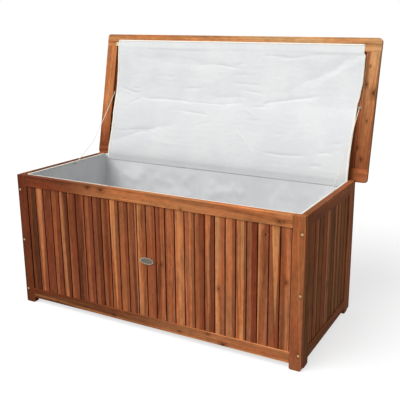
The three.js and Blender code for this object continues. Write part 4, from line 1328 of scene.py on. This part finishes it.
# Under the front rail it is held flat, no wider than the lid's frame is inside. Below the rail
# it lies a little deeper, in the frame, and comes out of it where it leaves the lid.
rail_foot = 0.029               # down the flap, the foot of the rail
fixed_down = 0.038              # and to where it keeps to the frame's width
fixed_half = 0.6020
frame_depths = ((0.17, 0.004), (0.045, 0.0007))     # how far down each is reached, how deep
leaving_lid = [(0.20, 0), (0.31, 1)]    # the share by which it is out of the frame
least_lift = -0.0034            # so that it clears the slats behind it
most_lift = 0.003               # so that it hardly stands out of the lid's frame


def on_flap(side_share, down, raised=0.0):
    """A point of the flap: -1 to 1 across it, and a distance down it."""
    half = between(flap_left if side_share < 0 else flap_right, down)
    half += 0.0012 * noise.noise(Vector((down * 14, side_share, 3)))
    if down < fixed_down:
        half = min(half, fixed_half)
    place, facing = along_flap(down)
    leaving = between(leaving_lid, down)
    sunk = sum(depth * (between([(rail_foot, 0), (reached, 1)], down) - leaving)
               for reached, depth in frame_depths)
    held = between([(0.004, 0), (0.05, 1)], down)
    held *= between([(flap_length - 0.08, 1), (flap_length - 0.01, 0)], down)
    lift = flap_lift(side_share * half, down) * held
    if down < 0.24:
        lift = min(lift, most_lift)
    if down < 0.30:
        lift = max(lift, least_lift * between([(rail_foot + 0.004, 0), (0.06, 1)], down))
    point = place + facing * (lift - sunk + raised)
    point.x = side_share * half
    return point


flap_columns = 268
flap_rows = 182
row_places = [flap_length * row / flap_rows for row in range(flap_rows + 1)]
flap_points = [on_flap(2 * column / flap_columns - 1, down)
               for down in row_places for column in range(flap_columns + 1)]
flap_faces = grid_faces(flap_rows + 1, flap_columns + 1, turned=True)
flap = new_piece("lid_lining_flap", flap_points, flap_faces, lining_fabric)
thicken(flap, cloth_thickness)

# Its hem is folded to the front along both sides and the top, and sewn down.
hem_width = 0.008
top_hem_width = 0.8 * hem_width
hem_off = 0.0006                # in front of the flap
hem_past = 1.0005               # of the flap's half width, the fold
hem_edge = 0.0006               # share of the half width, the hem's own fold at its inner edge
hem_step = 0.005

hem_parts = []
for side in (-1, 1):
    inner = side * (1 - hem_width / flap_half)
    shares = (side * hem_past, side * (1 - hem_width / (2 * flap_half)), inner + side * hem_edge,
              inner)
    points = [on_flap(share, down, hem_off) for down in row_places for share in shares]
    hem_parts.append((points, grid_faces(flap_rows + 1, len(shares), turned=True)))
steps = int(2 * flap_half / hem_step)
downs = (0.0, hem_width / 2, top_hem_width - 0.0004, top_hem_width)
points = [on_flap(2 * k / steps - 1, down, hem_off) for k in range(steps + 1) for down in downs]
hem_parts.append((points, grid_faces(steps + 1, len(downs), turned=True)))
hem = new_piece("lid_lining_hem", *joined(hem_parts), lining_hem)
thicken(hem, cloth_thickness)

# A seam of short stitches holds the hem.
stitch_length = 0.0028
stitch_step = 0.0042
stitch_off = 0.0008             # in front of the flap
stitch_half = 0.00022           # half a stitch's width
stitch_height = 0.0003
side_stitches = 0.002           # outside the side hem's inner edge
top_stitches = 0.0015           # above the top hem's lower edge
side_margin = 0.010             # at both ends of a side's seam
top_half = 0.585                # half the length of the top's seam


def stitch(start, end, facing):
    """Points and faces of one stitch, which is flat below and rises in the middle."""
    run = (end - start).normalized()
    side = run.cross(facing).normalized() * stitch_half
    points = []
    for share, height in ((0.0, 0.2), (0.3, 1.0), (0.7, 1.0), (1.0, 0.2)):
        spot = start.lerp(end, share)
        points += [spot - side, spot + facing * stitch_height * height, spot + side]
    faces = []
    for row in range(3):
        for i, j in ((0, 1), (1, 2), (2, 0)):
            faces.append((row * 3 + i, row * 3 + j, row * 3 + 3 + j, row * 3 + 3 + i))
    return points, faces + [(0, 2, 1), (9, 10, 11)]


stitches = []
for side in (-1, 1):
    share = side * (1 - (hem_width - side_stitches) / flap_half)
    for k in range(int((flap_length - 2 * side_margin) / stitch_step)):
        down = side_margin + k * stitch_step
        start = on_flap(share, down, stitch_off)
        end = on_flap(share, down + stitch_length, stitch_off)
        stitches.append(stitch(start, end, along_flap(down)[1]))
down = top_hem_width - top_stitches
for k in range(int(2 * top_half / stitch_step)):
    share = (k * stitch_step - top_half) / flap_half
    start = on_flap(share, down, stitch_off)
    end = on_flap(share + stitch_length / flap_half, down, stitch_off)
    stitches.append(stitch(start, end, along_flap(hem_width)[1]))
seam = new_piece("lid_lining_seam", *joined(stitches), lining_hem)

# A tab of cream tape at its upper left corner is glued to the front rail.
tape_thickness = 0.0003
tab_width = 0.0143
tab_length = 0.0180
tab_ragged = 0.0004             # how far its cut edges wander
tab_columns = 6
tab_rows = 8

tab_cream, shade, surface = new_material("tab_cream", Roughness=0.7)
place = shade.place()
ribs = shade.math("SINE", shade.times(shade.parts(place)[2], 5200.0))
soil = shade.noise(place, 160.0, 3.0)
shade.feed(surface["Base Color"], shade.mix(soil, rgb("#f1e6c4"), rgb("#d9c795")))
shade.feed(surface["Normal"], shade.bump(0.4, 0.0002, ribs))

tab_low = Vector((-0.6165, hinge.y - 0.5285, hinge.z + lid_under - 0.0002))
tab_points = []
for j in range(tab_rows + 1):
    for i in range(tab_columns + 1):
        ragged = tab_ragged * noise.noise(Vector((i * 1.7, j * 2.3, 0)))
        x = i / tab_columns * tab_width + (ragged if i == 0 else 0)
        y = j / tab_rows * tab_length + (ragged if j in (0, tab_rows) else 0)
        tab_points.append(opened(tab_low + Vector((x, y, 0))))
tab_faces = grid_faces(tab_rows + 1, tab_columns + 1, turned=True)
tab = new_piece("lid_lining_tab", tab_points, tab_faces, tab_cream, "lid", "lining_fabric")
thicken(tab, tape_thickness)

for piece in (flap, hem, seam):
    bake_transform(piece)
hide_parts("lid_lining")


# ---- Studio ----------------------------------------------------------------------------------
# A wide pale floor in an evenly white room, with one large soft lamp high at the front left.

floor_radius = 14.0
floor_sides = 64
floor_drop = 0.0005             # below the box's feet
floor_glow = 0.68
key_direction = Vector((0.36, 0.56, -0.75))
key_strength = 3.0
key_spread = math.radians(50)
room_strength = 0.30

bpy.context.scene.view_settings.view_transform = "Standard"


def seen_plainly(shade):
    """1 where the camera sees the surface, or sees it in a mirror or through glass, and 0 where
    it only lights others."""
    ray = shade.add("LightPath", {}).node.outputs
    indirect = shade.math("ADD", ray["Is Glossy Ray"], ray["Is Transmission Ray"])
    return shade.math("ADD", ray["Is Camera Ray"], indirect, use_clamp=True)


studio_floor, shade, surface = new_material("studio_floor", Roughness=0.9, Specular_IOR_Level=0.0,
                                            Emission_Color=(1, 1, 1, 1))
seen = seen_plainly(shade)
shade.feed(surface["Base Color"], shade.mix(seen, rgb("#9a9a9a"), rgb("#a6a6a6")))
shade.feed(surface["Emission Strength"], shade.times(seen, floor_glow))
floor_points = [(0, 0, 0)]
for angle in circle(floor_sides):
    floor_points.append((floor_radius * math.cos(angle), floor_radius * math.sin(angle), 0))
floor_faces = [(0, i + 1, (i + 1) % floor_sides + 1) for i in range(floor_sides)]
floor = new_piece("studio_floor", floor_points, floor_faces, studio_floor, smooth=False)
floor.location.z = -floor_drop

key_data = bpy.data.lights.new("key", "SUN")
key_data.energy = key_strength
key_data.angle = key_spread
key = bpy.data.objects.new("key", key_data)
key.rotation_mode = "QUATERNION"
key.rotation_quaternion = key_direction.to_track_quat("-Z", "Y")
bpy.context.scene.collection.objects.link(key)

room = bpy.data.worlds.new("room")
bpy.context.scene.world = room
room.use_nodes = True
shade = Shader(room.node_tree)
background = room.node_tree.nodes["Background"]
background.inputs["Color"].default_value = (1, 1, 1, 1)
strength = shade.times_plus(seen_plainly(shade), 1.0 - room_strength, room_strength)
shade.feed(background.inputs["Strength"], strength)
